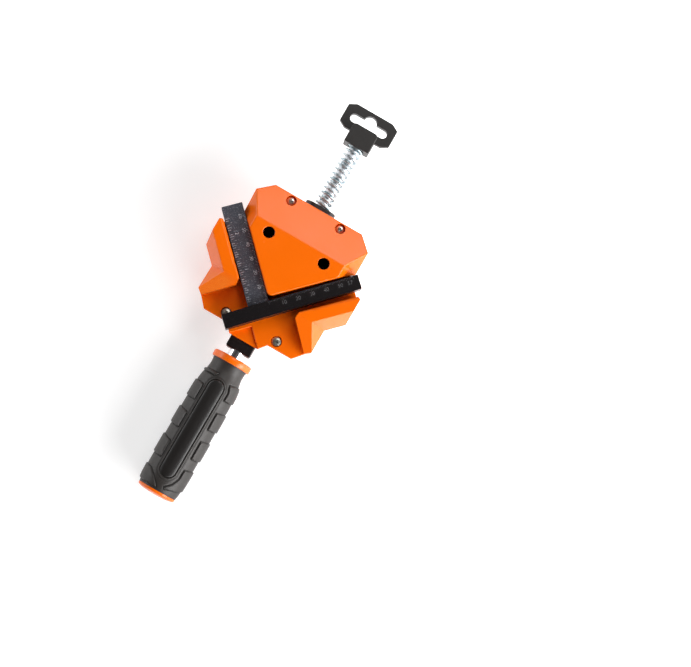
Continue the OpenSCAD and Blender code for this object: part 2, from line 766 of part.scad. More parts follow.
bar_gap = 0.2;         // between a bar and the block's face
bar_off = 0.48 * (gap_w - bar_t);  // the passing bar lies loose in its gap
bar_lean = 1.6;        // and a little askew
module long_bar() {
  color(black) translate([0, -apex_dist, floor_h]) rotate([0, 0, 45 + bar_lean])
    translate([-long_bar_past, -bar_off - bar_t, 0]) cube([long_bar_len, bar_t, bar_w]);
}

module short_bar() {
  color([0.2, 0.2, 0.23]) translate([0, -apex_dist, floor_h]) rotate([0, 0, 135])
    translate([bar_gap / 2 - bar_off, bar_gap, 0]) cube([short_bar_len, bar_w, bar_t]);
}

centre_block();
guide_plate();
block_screws();
plate_screws();
screw_nut();
nut_pins();
jaw_casting();
thrust_block();
thrust_bush();
floor_screws();
keeper_left();
keeper_right();
keeper_screws();
lead_screw();
front_washer();
rear_washer();
snap_ring();
handle_core();
grip_sleeve();
grip_panels();
handle_end_cap();
handle_pin();
tab_washer();
lock_nut();
hang_tab();
return_spring();
long_bar();
short_bar();
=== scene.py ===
import math

import bmesh
import bpy
import numpy as np
from bpy.props import FloatProperty, FloatVectorProperty, IntProperty, PointerProperty
from mathutils import Matrix, Vector


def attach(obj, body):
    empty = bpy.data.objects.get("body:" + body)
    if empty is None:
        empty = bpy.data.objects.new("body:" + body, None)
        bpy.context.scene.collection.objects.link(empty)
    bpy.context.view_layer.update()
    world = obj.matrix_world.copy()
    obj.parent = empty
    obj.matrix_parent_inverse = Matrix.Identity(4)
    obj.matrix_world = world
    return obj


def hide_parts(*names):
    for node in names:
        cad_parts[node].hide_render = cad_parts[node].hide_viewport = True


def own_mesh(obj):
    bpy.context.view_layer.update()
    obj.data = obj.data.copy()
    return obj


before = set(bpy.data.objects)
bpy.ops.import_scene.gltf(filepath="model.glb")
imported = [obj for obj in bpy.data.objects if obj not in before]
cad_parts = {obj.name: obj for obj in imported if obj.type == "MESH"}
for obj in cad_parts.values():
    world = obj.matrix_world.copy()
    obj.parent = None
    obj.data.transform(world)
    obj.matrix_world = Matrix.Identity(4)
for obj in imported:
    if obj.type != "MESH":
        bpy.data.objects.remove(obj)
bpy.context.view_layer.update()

bl_info = {
    "name": "Corner Clamp",
    "version": (1, 0, 0),
    "blender": (4, 5, 0),
    "location": "View3D > Sidebar > Clamp",
    "description": "Dresses a screw-driven corner clamp and sets it in a studio",
    "category": "Object",
}

MM = 0.001

# Sizes that the solids have too, in millimetres
AXIS = 20.0
TOP = 47.5
FLOOR = 30.0
FLOOR_LOW = 26.2
APEX = 38.2
JAW_APEX = 60.545
BACK = 31.6
COLLAR = -85.045
PAD_ZERO = -84.245
CAP_END = -192.945
SPRING_START = 36.4
SPRING_END = 87.7


# Node trees

class Value:
    """One output socket, used in sums as if it were a number."""

    def __init__(self, nodes, socket):
        self.nodes = nodes
        self.socket = socket

    def out(self, name):
        return Value(self.nodes, self.socket.node.outputs[name])

    def _math(self, how, *terms):
        return self.nodes.add("ShaderNodeMath", {"operation": how}, dict(enumerate(terms)))

    def __add__(self, other):
        return self._math("ADD", self, other)

    def __sub__(self, other):
        return self._math("SUBTRACT", self, other)

    def __rsub__(self, other):
        return self._math("SUBTRACT", other, self)

    def __mul__(self, other):
        return self._math("MULTIPLY", self, other)

    def __truediv__(self, other):
        return self._math("DIVIDE", self, other)

    def __rtruediv__(self, other):
        return self._math("DIVIDE", other, self)

    def __mod__(self, other):
        return self._math("FLOORED_MODULO", self, other)

    def __neg__(self):
        return self._math("MULTIPLY", self, -1.0)

    def __abs__(self):
        return self._math("ABSOLUTE", self)

    def __lt__(self, other):
        return self._math("LESS_THAN", self, other)

    def __gt__(self, other):
        return self._math("GREATER_THAN", self, other)

    __radd__ = __add__
    __rmul__ = __mul__


class Nodes:
    """Adds nodes to a shader or geometry tree."""

    def __init__(self, tree):
        self.tree = tree

    def add(self, kind, settings=None, values=None, out=0):
        node = self.tree.nodes.new(kind)
        for key, value in (settings or {}).items():
            if key == "stops":
                ramp = node.color_ramp
                while len(ramp.elements) < len(value):
                    ramp.elements.new(0.5)
                for stop, (place, shade) in zip(ramp.elements, value):
                    stop.position = place
                    stop.color = (shade, shade, shade, 1.0)
            else:
                setattr(node, key, value)
        for key, value in (values or {}).items():
            self.feed(node.inputs[key], value)
        return Value(self, node.outputs[out]) if node.outputs else node

    def feed(self, socket, value):
        if isinstance(value, Value):
            self.tree.links.new(value.socket, socket)
        elif value is not None:
            socket.default_value = value

    def blend(self, factor, low, high):
        return self.add("ShaderNodeMix", {"data_type": "RGBA", "clamp_factor": True},
                        {0: factor, 6: low, 7: high}, out=2)

    def ramp(self, value, *stops):
        return self.add("ShaderNodeValToRGB", {"stops": stops}, {"Fac": value})

    def step(self, value, low, high):
        return self.add("ShaderNodeMapRange", {"interpolation_type": "SMOOTHSTEP"},
                        {"Value": value, "From Min": low, "From Max": high})

    def noise(self, place, per_mm, detail=2.0, roughness=0.5):
        return self.add("ShaderNodeTexNoise", None,
                        {"Vector": place, "Scale": per_mm / MM, "Detail": detail, "Roughness": roughness})

    def stretched(self, place, x, y, z):
        return self.add("ShaderNodeMapping", None, {"Vector": place, "Scale": (x, y, z)})


class Finish(Nodes):
    """A procedural material on Object coordinates."""

    made = {}

    def __init__(self, name):
        self.material = bpy.data.materials.new(name)
        self.material.use_nodes = True
        self.material.node_tree.nodes.clear()
        super().__init__(self.material.node_tree)
        self.place = self.add("ShaderNodeTexCoord").out("Object")
        Finish.made[name] = self.material

    def bump(self, height, strength, depth_mm, under=None):
        return self.add("ShaderNodeBump", None, {"Height": height, "Strength": strength,
                                                 "Distance": depth_mm * MM, "Normal": under})

    def shade(self, **values):
        named = {key.replace("_", " ").title().replace("Ior", "IOR"): value for key, value in values.items()}
        surface = self.add("ShaderNodeBsdfPrincipled", None, named)
        self.add("ShaderNodeOutputMaterial", None, {"Surface": surface})
        return self.material


def tone(rgb, share=1.0):
    return (rgb[0] * share, rgb[1] * share, rgb[2] * share, 1.0)


# Mesh building

def new_piece(name, mesh):
    piece = bpy.data.objects.new(name, mesh)
    bpy.context.scene.collection.objects.link(piece)
    return piece


def from_bmesh(name, bm, smooth_angle=35.0):
    bmesh.ops.remove_doubles(bm, verts=bm.verts, dist=1e-4)
    bmesh.ops.recalc_face_normals(bm, faces=bm.faces)
    bmesh.ops.scale(bm, vec=(MM, MM, MM), verts=bm.verts)
    mesh = bpy.data.meshes.new(name)
    bm.to_mesh(mesh)
    bm.free()
    smooth(mesh, smooth_angle)
    return new_piece(name, mesh)


def smooth(mesh, angle=35.0):
    mesh.shade_smooth()
    mesh.set_sharp_from_angle(angle=math.radians(angle))


def settle(piece, angle=35.0, weigh=True):
    """Turns a piece and its modifiers into a plain mesh."""
    if weigh:
        evened = piece.modifiers.new("even", "WEIGHTED_NORMAL")
        evened.keep_sharp = True
        evened.weight = 90
    graph = bpy.context.evaluated_depsgraph_get()
    graph.update()
    mesh = bpy.data.meshes.new_from_object(piece.evaluated_get(graph))
    old = piece.data
    piece.modifiers.clear()
    piece.data = mesh
    mesh.name = piece.name
    bpy.data.meshes.remove(old)
    return piece


def join(name, pieces):
    """Joins plain pieces into one."""
    bm = bmesh.new()
    for piece in pieces:
        bm.from_mesh(piece.data)
    mesh = bpy.data.meshes.new(name)
    bm.to_mesh(mesh)
    bm.free()
    for piece in pieces:
        discard(piece)
    smooth(mesh)
    return new_piece(name, mesh)


def discard(piece):
    mesh = piece.data
    bpy.data.objects.remove(piece)
    bpy.data.meshes.remove(mesh)


def combine(piece, others, how):
    """Adds other solids to a piece or cuts them out of it."""
    for other in others:
        step = piece.modifiers.new("combine", "BOOLEAN")
        step.operation = how
        step.solver = "EXACT"
        step.object = other
    settle(piece, weigh=False)
    for other in others:
        discard(other)
    return piece


def even(piece, angle=35.0):
    """Cleans a combined solid and gives its flat faces flat shading."""
    bm = bmesh.new()
    bm.from_mesh(piece.data)
    bmesh.ops.remove_doubles(bm, verts=bm.verts, dist=1e-7)
    bmesh.ops.dissolve_degenerate(bm, dist=1e-7, edges=bm.edges)
    bm.to_mesh(piece.data)
    bm.free()
    smooth(piece.data, angle)
    return settle(piece)


def prism(points, low, high):
    """A solid with the outline points between two heights."""
    bm = bmesh.new()
    base = bm.faces.new([bm.verts.new((x, y, low)) for x, y in points])
    made = bmesh.ops.extrude_face_region(bm, geom=[base])
    tops = [v for v in made["geom"] if isinstance(v, bmesh.types.BMVert)]
    bmesh.ops.translate(bm, vec=(0, 0, high - low), verts=tops)
    bmesh.ops.recalc_face_normals(bm, faces=bm.faces)
    return bm


def box(x0, x1, y0, y1, z0, z1):
    return prism([(x0, y0), (x1, y0), (x1, y1), (x0, y1)], z0, z1)


def slice_off(bm, point, out):
    """Cuts away what lies beyond a plane and closes the cut."""
    geom = bm.verts[:] + bm.edges[:] + bm.faces[:]
    made = bmesh.ops.bisect_plane(bm, geom=geom, plane_co=point, plane_no=out, clear_outer=True, dist=1e-5)
    cut = [e for e in made["geom_cut"] if isinstance(e, bmesh.types.BMEdge)]
    bmesh.ops.edgenet_fill(bm, edges=cut)
    bmesh.ops.recalc_face_normals(bm, faces=bm.faces)
    return bm


def plane_of(a, b, c):
    a, b, c = Vector(a), Vector(b), Vector(c)
    out = (b - a).cross(c - a).normalized()
    return a, (out if out.z > 0 else -out)


def round_edges(bm, width, segments=3, angle=20.0, pick=None):
    """Rounds the edges that are sharper than the angle."""
    limit = math.radians(angle)
    chosen = [e for e in bm.edges if len(e.link_faces) == 2 and e.calc_face_angle() > limit
              and (pick is None or pick(e))]
    bmesh.ops.bevel(bm, geom=chosen, offset=width, offset_type="OFFSET", segments=segments, profile=0.5,
                    affect="EDGES", clamp_overlap=True, loop_slide=True)
    return bm


def mirrored(bm):
    """The same solid on the other side of the clamp."""
    other = bm.copy()
    bmesh.ops.scale(other, vec=(-1, 1, 1), verts=other.verts)
    bmesh.ops.reverse_faces(other, faces=other.faces)
    return other


def lathe(profile, centre=(0.0, AXIS), sides=96, close=True):
    """Turns (y, radius) points round the screw line; the profile is a closed loop."""
    bm = bmesh.new()
    rings = []
    for y, r in profile:
        if r < 1e-6:
            rings.append([bm.verts.new((centre[0], y, centre[1]))] * sides)
        else:
            rings.append([bm.verts.new((centre[0] + r * math.sin(2 * math.pi * k / sides), y,
                                        centre[1] + r * math.cos(2 * math.pi * k / sides))) for k in range(sides)])
    count = len(rings) if close else len(rings) - 1
    for i in range(count):
        a, b = rings[i], rings[(i + 1) % len(rings)]
        for k in range(sides):
            m = (k + 1) % sides
            corner = []
            for v in (a[k], a[m], b[m], b[k]):
                if v not in corner:
                    corner.append(v)
            if len(corner) > 2:
                bm.faces.new(corner)
    bmesh.ops.recalc_face_normals(bm, faces=bm.faces)
    return bm


def rod(y0, y1, r, sides=64):
    return lathe([(y0, 0), (y0, r), (y1, r), (y1, 0)], sides=sides, close=False)


def post(x, y, z0, z1, r, sides=64, lip=0.0):
    """An upright round cutter or boss, flared by lip at its top."""
    ring = [(math.cos(2 * math.pi * k / sides), math.sin(2 * math.pi * k / sides)) for k in range(sides)]
    bm = prism([(x + r * c, y + r * s) for c, s in ring], z0, z1)
    if lip:
        for v in bm.verts:
            if v.co.z > z1 - 1e-4:
                v.co.x = x + (v.co.x - x) * (r + lip) / r
                v.co.y = y + (v.co.y - y) * (r + lip) / r
    return bm


def merged(*parts):
    bm = bmesh.new()
    for part in parts:
        mesh = bpy.data.meshes.new("part")
        part.to_mesh(mesh)
        part.free()
        bm.from_mesh(mesh)
        bpy.data.meshes.remove(mesh)
    return bm


def as_solid(bm):
    return from_bmesh("solid", bm)


def jaw_point(p, q):
    root = math.sqrt(2.0)
    return ((p + q) / root, (p - q) / root - JAW_APEX)


# Geometry node trees

def geometry_tree(name, sockets):
    """A tree with named inputs and one geometry output; returns it, its nodes and its input values."""
    tree = bpy.data.node_groups.new(name, "GeometryNodeTree")
    tree.interface.new_socket("Geometry", in_out="INPUT", socket_type="NodeSocketGeometry")
    for label, kind, value in sockets:
        made = tree.interface.new_socket(label, in_out="INPUT", socket_type="NodeSocket" + kind)
        if value is not None:
            made.default_value = value
    tree.interface.new_socket("Geometry", in_out="OUTPUT", socket_type="NodeSocketGeometry")
    nodes = Nodes(tree)
    enter = nodes.add("NodeGroupInput")
    return tree, nodes, enter


def leave(nodes, geometry, material):
    realized = nodes.add("GeometryNodeRealizeInstances", None, {"Geometry": geometry})
    painted = nodes.add("GeometryNodeSetMaterial", None, {"Geometry": realized, "Material": material})
    nodes.add("NodeGroupOutput", None, {"Geometry": painted})


def grow(name, tree, source=None, **values):
    """Runs a geometry tree and keeps its result as a plain piece."""
    piece = source or new_piece(name, bpy.data.meshes.new(name))
    piece.name = name
    step = piece.modifiers.new("grow", "NODES")
    step.node_group = tree
    for socket in tree.interface.items_tree:
        label = socket.name.replace(" ", "_").lower()
        if socket.in_out == "INPUT" and label in values:
            step[socket.identifier] = values[label]
    settle(piece, weigh=False)
    smooth(piece.data)
    return piece


def coil_tree():
    """A wire wound round the Y axis through the origin."""
    tree, nodes, enter = geometry_tree("wound_wire", [
        ("Turns", "Float", 13.0), ("Steps", "Int", 24), ("Radius", "Float", 0.005), ("Length", "Float", 0.05),
        ("Wire", "Float", 0.0007), ("Sides", "Int", 10), ("Flat", "Float", 1.0), ("Material", "Material", None)])
    line = nodes.add("GeometryNodeCurveSpiral", None, {
        "Resolution": enter.out("Steps"), "Rotations": enter.out("Turns"), "Start Radius": enter.out("Radius"),
        "End Radius": enter.out("Radius"), "Height": enter.out("Length")})
    ring = nodes.add("GeometryNodeCurvePrimitiveCircle", {"mode": "RADIUS"},
                     {"Resolution": enter.out("Sides"), "Radius": enter.out("Wire")})
    squeeze = nodes.add("ShaderNodeCombineXYZ", None, {0: 1.0, 1: enter.out("Flat"), 2: 1.0})
    ring = nodes.add("GeometryNodeTransform", None, {"Geometry": ring, "Scale": squeeze})
    wire = nodes.add("GeometryNodeCurveToMesh", None, {"Curve": line, "Profile Curve": ring, "Fill Caps": True})
    laid = nodes.add("GeometryNodeTransform", None, {"Geometry": wire, "Rotation": (-math.pi / 2, 0.0, 0.0)})
    leave(nodes, laid, enter.out("Material"))
    return tree


def copies_tree():
    """Copies of the host piece along a line."""
    tree, nodes, enter = geometry_tree("copies_along_line", [
        ("Count", "Int", 2), ("Step", "Vector", (0.01, 0.0, 0.0)), ("Turn", "Float", 0.0),
        ("Material", "Material", None)])
    line = nodes.add("GeometryNodeMeshLine", {"mode": "OFFSET"},
                     {"Count": enter.out("Count"), "Offset": enter.out("Step")})
    index = nodes.add("GeometryNodeInputIndex")
    spin = nodes.add("ShaderNodeCombineXYZ", None, {2: index * enter.out("Turn")})
    laid = nodes.add("GeometryNodeInstanceOnPoints", None,
                     {"Points": line, "Instance": enter.out("Geometry"), "Rotation": spin})
    leave(nodes, laid, enter.out("Material"))
    return tree


def marks_tree():
    """A ruled scale: marks along X that reach along Y, longer at every middle and long count."""
    tree, nodes, enter = geometry_tree("ruled_marks", [
        ("Marks", "Int", 51), ("Spacing", "Float", 0.001), ("Width", "Float", 0.00014), ("Depth", "Float", 0.00006),
        ("Short", "Float", 0.0016), ("Middle", "Float", 0.0024), ("Long", "Float", 0.0034),
        ("Middle each", "Int", 5), ("Long each", "Int", 10), ("Material", "Material", None)])
    step = nodes.add("ShaderNodeCombineXYZ", None, {0: enter.out("Spacing")})
    line = nodes.add("GeometryNodeMeshLine", {"mode": "OFFSET"}, {"Count": enter.out("Marks"), "Offset": step})
    index = nodes.add("GeometryNodeInputIndex")
    on_middle = (index % enter.out("Middle each")) < 0.5
    on_long = (index % enter.out("Long each")) < 0.5
    reach = enter.out("Short") + (enter.out("Middle") - enter.out("Short")) * on_middle
    reach = reach + (enter.out("Long") - reach) * on_long
    cube = nodes.add("GeometryNodeMeshCube", None, {"Size": (1.0, 1.0, 1.0)})
    cube = nodes.add("GeometryNodeTransform", None, {"Geometry": cube, "Translation": (0.0, 0.5, 0.0)})
    size = nodes.add("ShaderNodeCombineXYZ", None, {0: enter.out("Width"), 1: reach, 2: enter.out("Depth")})
    laid = nodes.add("GeometryNodeInstanceOnPoints", None, {"Points": line, "Instance": cube, "Scale": size})
    leave(nodes, laid, enter.out("Material"))
    return tree


# Finishes

def orange_coat():
    """Sprayed and baked coat on metal castings: faint orange peel, tiny pits, a grainier patch that is also painted
    darker as shade, and painted shade inside the bench holes.
    """
    look = bpy.context.scene.clamp_look
    f = Finish("orange_coat")
    peel = f.noise(f.place, 0.55, 3.0, 0.55)
    grain = f.noise(f.place, 2.4, 2.0, 0.6)
    cloud = f.noise(f.place, 0.035, 2.0, 0.5)
    at = f.add("ShaderNodeSeparateXYZ", None, {0: f.place})
    x, y, z = at.out("X") / MM, at.out("Y") / MM, at.out("Z") / MM
    grain_and_shade_patch = f.step(-x, 20.0, 30.0) * f.step(-y, 36.0, 43.0) * f.step(z, 31.0, 34.0)
    speck = f.step(grain + (grain_and_shade_patch - 1.0) * 0.25, 0.46, 0.56)
    base = f.blend(cloud, tone(look.coat, 0.96), tone(look.coat, 1.04))
    # Painted shade: the grainy patch is also painted darker, as the shade that lies on it.
    base = f.blend(grain_and_shade_patch * 0.3, base, tone(look.coat, 0.6))
    base = f.blend(speck * 0.42, base, tone((1.0, 0.28, 0.025)))
    # Painted shade: the inside of the two bench holes is painted near black.
    off = abs(x) - 21.5
    painted_hole_shade = (1.0 - f.step(off * off + y * y, 17.6, 19.4)) * (1.0 - f.step(z, 45.0, 46.6))
    base = f.blend(painted_hole_shade * 0.97, base, tone((0.01, 0.004, 0.002)))
    height = peel + grain * (grain_and_shade_patch * 3.0 + 0.35)
    rough = f.ramp(cloud, (0.3, 0.22), (0.7, 0.28)) + grain_and_shade_patch * 0.16
    f.shade(base_color=base, roughness=rough, normal=f.bump(height, 0.35, 0.03), specular_ior_level=0.34)


def orange_plastic():
    look = bpy.context.scene.clamp_look
    f = Finish("orange_plastic")
    cloud = f.noise(f.place, 0.08, 2.0)
    fine = f.noise(f.place, 3.0, 2.0)
    base = f.blend(cloud, tone(look.coat, 1.0), tone(look.coat, 1.07))
    f.shade(base_color=base, roughness=f.ramp(fine, (0.2, 0.24), (0.8, 0.32)), normal=f.bump(fine, 0.2, 0.02))


def black_coat(name="black_coat", base=(0.007, 0.004, 0.004), shine=(0.3, 0.42)):
    """Satin black on steel, a little dusty."""
    f = Finish(name)
    dust = f.noise(f.place, 0.5, 4.0, 0.65)
    fine = f.noise(f.place, 3.5, 2.0)
    colour = f.blend(f.ramp(dust, (0.5, 0.0), (0.8, 1.0)), tone(base), tone(base, 2.6))
    f.shade(base_color=colour, roughness=f.ramp(dust, (0.3, shine[0]), (0.75, shine[1])),
            normal=f.bump(fine, 0.25, 0.03), specular_ior_level=0.4)


def moulded_black():
    """Fine-grained black plastic of the hanging tab."""
    f = Finish("moulded_black")
    fine = f.noise(f.place, 5.0, 3.0, 0.6)
    cloud = f.noise(f.place, 0.12, 2.0)
    colour = f.blend(cloud, tone((0.0125, 0.0106, 0.0094)), tone((0.02, 0.017, 0.0155)))
    f.shade(base_color=colour, roughness=f.ramp(fine, (0.3, 0.42), (0.7, 0.54)), normal=f.bump(fine, 0.5, 0.03),
            specular_ior_level=0.5)


def bright_steel():
    """Polished shaft with fine turning lines round it."""
    f = Finish("bright_steel")
    lines = f.noise(f.stretched(f.place, 0.02, 1.0, 0.02), 7.0, 3.0, 0.6)
    smear = f.noise(f.place, 0.2, 2.0)
    at = f.add("ShaderNodeSeparateXYZ", None, {0: f.place})
    threaded = f.step(at.out("Y") / MM, -52.0, -44.0)
    colour = f.blend(smear, tone((0.74, 0.75, 0.78)), tone((0.88, 0.89, 0.92)))
    f.shade(base_color=colour, metallic=1.0, roughness=f.ramp(lines, (0.3, 0.16), (0.8, 0.28)) + threaded * 0.42,
            normal=f.bump(lines, 0.12, 0.02))


def zinc(name, cool=(0.4, 0.52, 0.57), warm=(0.62, 0.66, 0.67), shine=(0.34, 0.46)):
    """Zinc plate with a cool tint that drifts over it."""
    f = Finish(name)
    drift = f.noise(f.place, 0.16, 3.0, 0.55)
    fine = f.noise(f.place, 4.0, 2.0)
    colour = f.blend(f.ramp(drift, (0.35, 0.0), (0.65, 1.0)), tone(cool), tone(warm))
    f.shade(base_color=colour, metallic=1.0, roughness=f.ramp(fine, (0.3, shine[0]), (0.75, shine[1])),
            normal=f.bump(fine, 0.2, 0.02))


def bronze():
    f = Finish("bearing_bronze")
    pores = f.noise(f.place, 2.6, 3.0, 0.6)
    colour = f.blend(f.ramp(pores, (0.35, 0.0), (0.65, 1.0)), tone((0.30, 0.17, 0.07)), tone((0.62, 0.40, 0.19)))
    f.shade(base_color=colour, metallic=1.0, roughness=f.ramp(pores, (0.3, 0.5), (0.7, 0.34)),
            normal=f.bump(pores, 0.3, 0.03))


def grip_rubber():
    """Warm grey rubber; the attribute rim is the distance in millimetres from the nearest pad's edge, and the groove
    along it is painted near black as shade.
    """
    look = bpy.context.scene.clamp_look
    f = Finish("grip_rubber")
    rim = f.add("ShaderNodeAttribute", {"attribute_name": "rim"}).out("Fac")
    fine = f.noise(f.place, 4.5, 3.0, 0.6)
    cloud = f.noise(f.place, 0.06, 3.0, 0.5)
    groove = 1.0 - f.step(abs(rim - 0.28), 0.12, 0.42)
    colour = f.blend(cloud, tone(look.rubber, 0.82), tone(look.rubber, 1.15))
    # Painted shade: the groove round each pad and inlay is painted near black.
    colour = f.blend(groove * 0.93, colour, tone((0.006, 0.005, 0.004)))
    rough = f.ramp(fine, (0.3, 0.44), (0.7, 0.54)) + groove * 0.2
    f.shade(base_color=colour, roughness=rough, normal=f.bump(fine, 0.35, 0.03), specular_ior_level=0.5)


def panel_gloss():
    """Smooth dark inlay of the grip."""
    f = Finish("panel_gloss")
    fine = f.noise(f.place, 2.2, 3.0, 0.6)
    cloud = f.noise(f.place, 0.1, 2.0)
    colour = f.blend(cloud, tone((0.008, 0.0065, 0.006)), tone((0.014, 0.012, 0.011)))
    f.shade(base_color=colour, roughness=f.ramp(fine, (0.3, 0.34), (0.7, 0.44)), normal=f.bump(fine, 0.15, 0.02))


def anodised(name, base, scratch, shine):
    """Black anodised bar with drawn lines along it and light scuffs."""
    f = Finish(name)
    turned = f.add("ShaderNodeMapping", None, {"Vector": f.place, "Rotation": (0.0, 0.0, math.radians(45.0))})
    drawn = f.noise(f.stretched(turned, 1.0, 0.04, 1.0), 3.0, 4.0, 0.6)
    scuff = f.noise(f.place, 1.1, 5.0, 0.7)
    fine = f.noise(f.place, 4.0, 2.0)
    wear = f.ramp(scuff, (0.5, 0.0), (0.72, 1.0))
    colour = f.blend(wear * 0.6, tone(base), tone(scratch))
    colour = f.blend(f.ramp(drawn, (0.5, 0.0), (0.9, 0.5)), colour, tone(scratch))
    fleck = f.noise(f.place, 1.9, 2.0, 0.5)
    colour = f.blend(f.ramp(fleck, (0.6, 0.0), (0.72, 0.9)), colour, tone(scratch, 2.4))
    f.shade(base_color=colour, roughness=f.ramp(scuff, (0.3, shine[0]), (0.7, shine[1])),
            normal=f.bump(fine + drawn, 0.25, 0.02), specular_ior_level=0.3)


def scale_ink():
    """Pale lettering and marks, worn away in places."""
    f = Finish("scale_ink")
    worn = f.noise(f.place, 1.5, 4.0, 0.7)
    colour = f.blend(f.ramp(worn, (0.34, 0.0), (0.54, 1.0)), tone((0.1, 0.104, 0.12)), tone((0.6, 0.62, 0.68)))
    f.shade(base_color=colour, roughness=f.ramp(worn, (0.3, 0.6), (0.7, 0.5)))


def scale_ink_faint():
    """The same marks on the bar that passes the corner, more worn."""
    f = Finish("scale_ink_faint")
    worn = f.noise(f.place, 1.7, 4.0, 0.7)
    colour = f.blend(f.ramp(worn, (0.4, 0.0), (0.62, 1.0)), tone((0.015, 0.014, 0.015)), tone((0.19, 0.19, 0.2)))
    f.shade(base_color=colour, roughness=f.ramp(worn, (0.3, 0.6), (0.7, 0.5)))


def studio_floor():
    """Matt white table that glows as a light, brighter towards one side, with a painted shadow under the middle of the
    clamp.
    """
    f = Finish("studio_floor")
    cloud = f.noise(f.place, 0.002, 2.0)
    colour = f.blend(cloud, tone((0.6, 0.6, 0.6)), tone((0.63, 0.63, 0.63)))
    at = f.add("ShaderNodeSeparateXYZ", None, {0: f.place})
    x, y = at.out("X") / MM, at.out("Y") / MM
    # Painted shadow: the table under the middle of the clamp is painted near black and does not glow.
    painted_shadow_under_block = (1.0 - f.step(abs(x), 28.0, 34.0)) * (1.0 - f.step(abs(y), 14.0, 22.0))
    # Painted light: the table glows, about a third as strongly on one side as on the other, along x * 0.866 + y * 0.5.
    lit = f.blend(f.step(x * 0.866 + y * 0.5, -60.0, 110.0), tone((0.36, 0.36, 0.36)), tone((1, 1, 1)))
    f.shade(base_color=f.blend(painted_shadow_under_block, colour, tone((0.05, 0.05, 0.05))),
            roughness=f.ramp(cloud, (0.3, 0.85), (0.7, 0.95)),
            emission_color=f.blend(painted_shadow_under_block, lit, tone((0, 0, 0))), emission_strength=1.6)


def paint(piece, name):
    piece.data.materials.clear()
    piece.data.materials.append(Finish.made[name])


def paint_node(node, name):
    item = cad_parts[node]
    if not item.material_slots:
        item.data.materials.append(Finish.made[name])
    for slot in item.material_slots:
        slot.material = Finish.made[name]


# Settings

class ClampLook(bpy.types.PropertyGroup):
    """Colours of the clamp"""
    coat: FloatVectorProperty(name="Coat", description="Colour of the castings", subtype="COLOR",
                              default=(0.985, 0.156, 0.0), min=0, max=1)
    rubber: FloatVectorProperty(name="Rubber", description="Colour of the grip", subtype="COLOR",
                                default=(0.027, 0.0225, 0.02), min=0, max=1)


class ClampSizes(bpy.types.PropertyGroup):
    """Sizes of the dressing"""
    edge: FloatProperty(name="Casting edges", description="Rounding of the castings' edges", unit="LENGTH",
                        default=0.0009, min=0.0002, max=0.002)
    wire: FloatProperty(name="Spring wire", description="Diameter of the spring's wire", unit="LENGTH",
                        default=0.0015, min=0.001, max=0.0016)
    turns: IntProperty(name="Spring turns", description="Turns of the spring", default=13, min=8, max=14)
    pitch: FloatProperty(name="Thread pitch", description="Pitch of the screw", unit="LENGTH",
                         default=0.003, min=0.0015, max=0.004)
    pad: FloatProperty(name="Pad height", description="How far the grip's pads stand out", unit="LENGTH",
                       default=0.0009, min=0.0003, max=0.0012)


# Pieces

class CLAMP_OT_finishes(bpy.types.Operator):
    """Make every finish and put it on the solids that keep their own shape"""
    bl_idname = "clamp.finishes"
    bl_label = "Finishes"

    def execute(self, context):
        orange_coat()
        orange_plastic()
        black_coat()
        black_coat("black_oxide", (0.022, 0.021, 0.022), (0.36, 0.5))
        moulded_black()
        bright_steel()
        zinc("zinc_wire")
        zinc("zinc_screw", (0.36, 0.37, 0.33), (0.53, 0.51, 0.45), (0.3, 0.48))
        zinc("zinc_bright", (0.6, 0.6, 0.58), (0.82, 0.8, 0.75), (0.26, 0.4))
        bronze()
        grip_rubber()
        panel_gloss()
        anodised("anodised_grey", (0.051, 0.054, 0.069), (0.12, 0.125, 0.145), (0.4, 0.52))
        anodised("anodised_black", (0.0045, 0.003, 0.0035), (0.012, 0.0095, 0.01), (0.28, 0.4))
        scale_ink()
        scale_ink_faint()
        studio_floor()
        for node, name in {
            "guide_plate": "black_oxide", "nut_pins": "bright_steel", "plate_screws": "zinc_screw",
            "thrust_bush": "bearing_bronze", "keeper_left": "black_oxide", "keeper_right": "black_oxide",
            "keeper_screws": "zinc_screw", "front_washer": "bearing_bronze", "rear_washer": "bearing_bronze",
            "snap_ring": "bright_steel", "handle_pin": "bright_steel", "tab_washer": "zinc_screw",
            "lock_nut": "zinc_screw",
        }.items():
            paint_node(node, name)
        return {"FINISHED"}


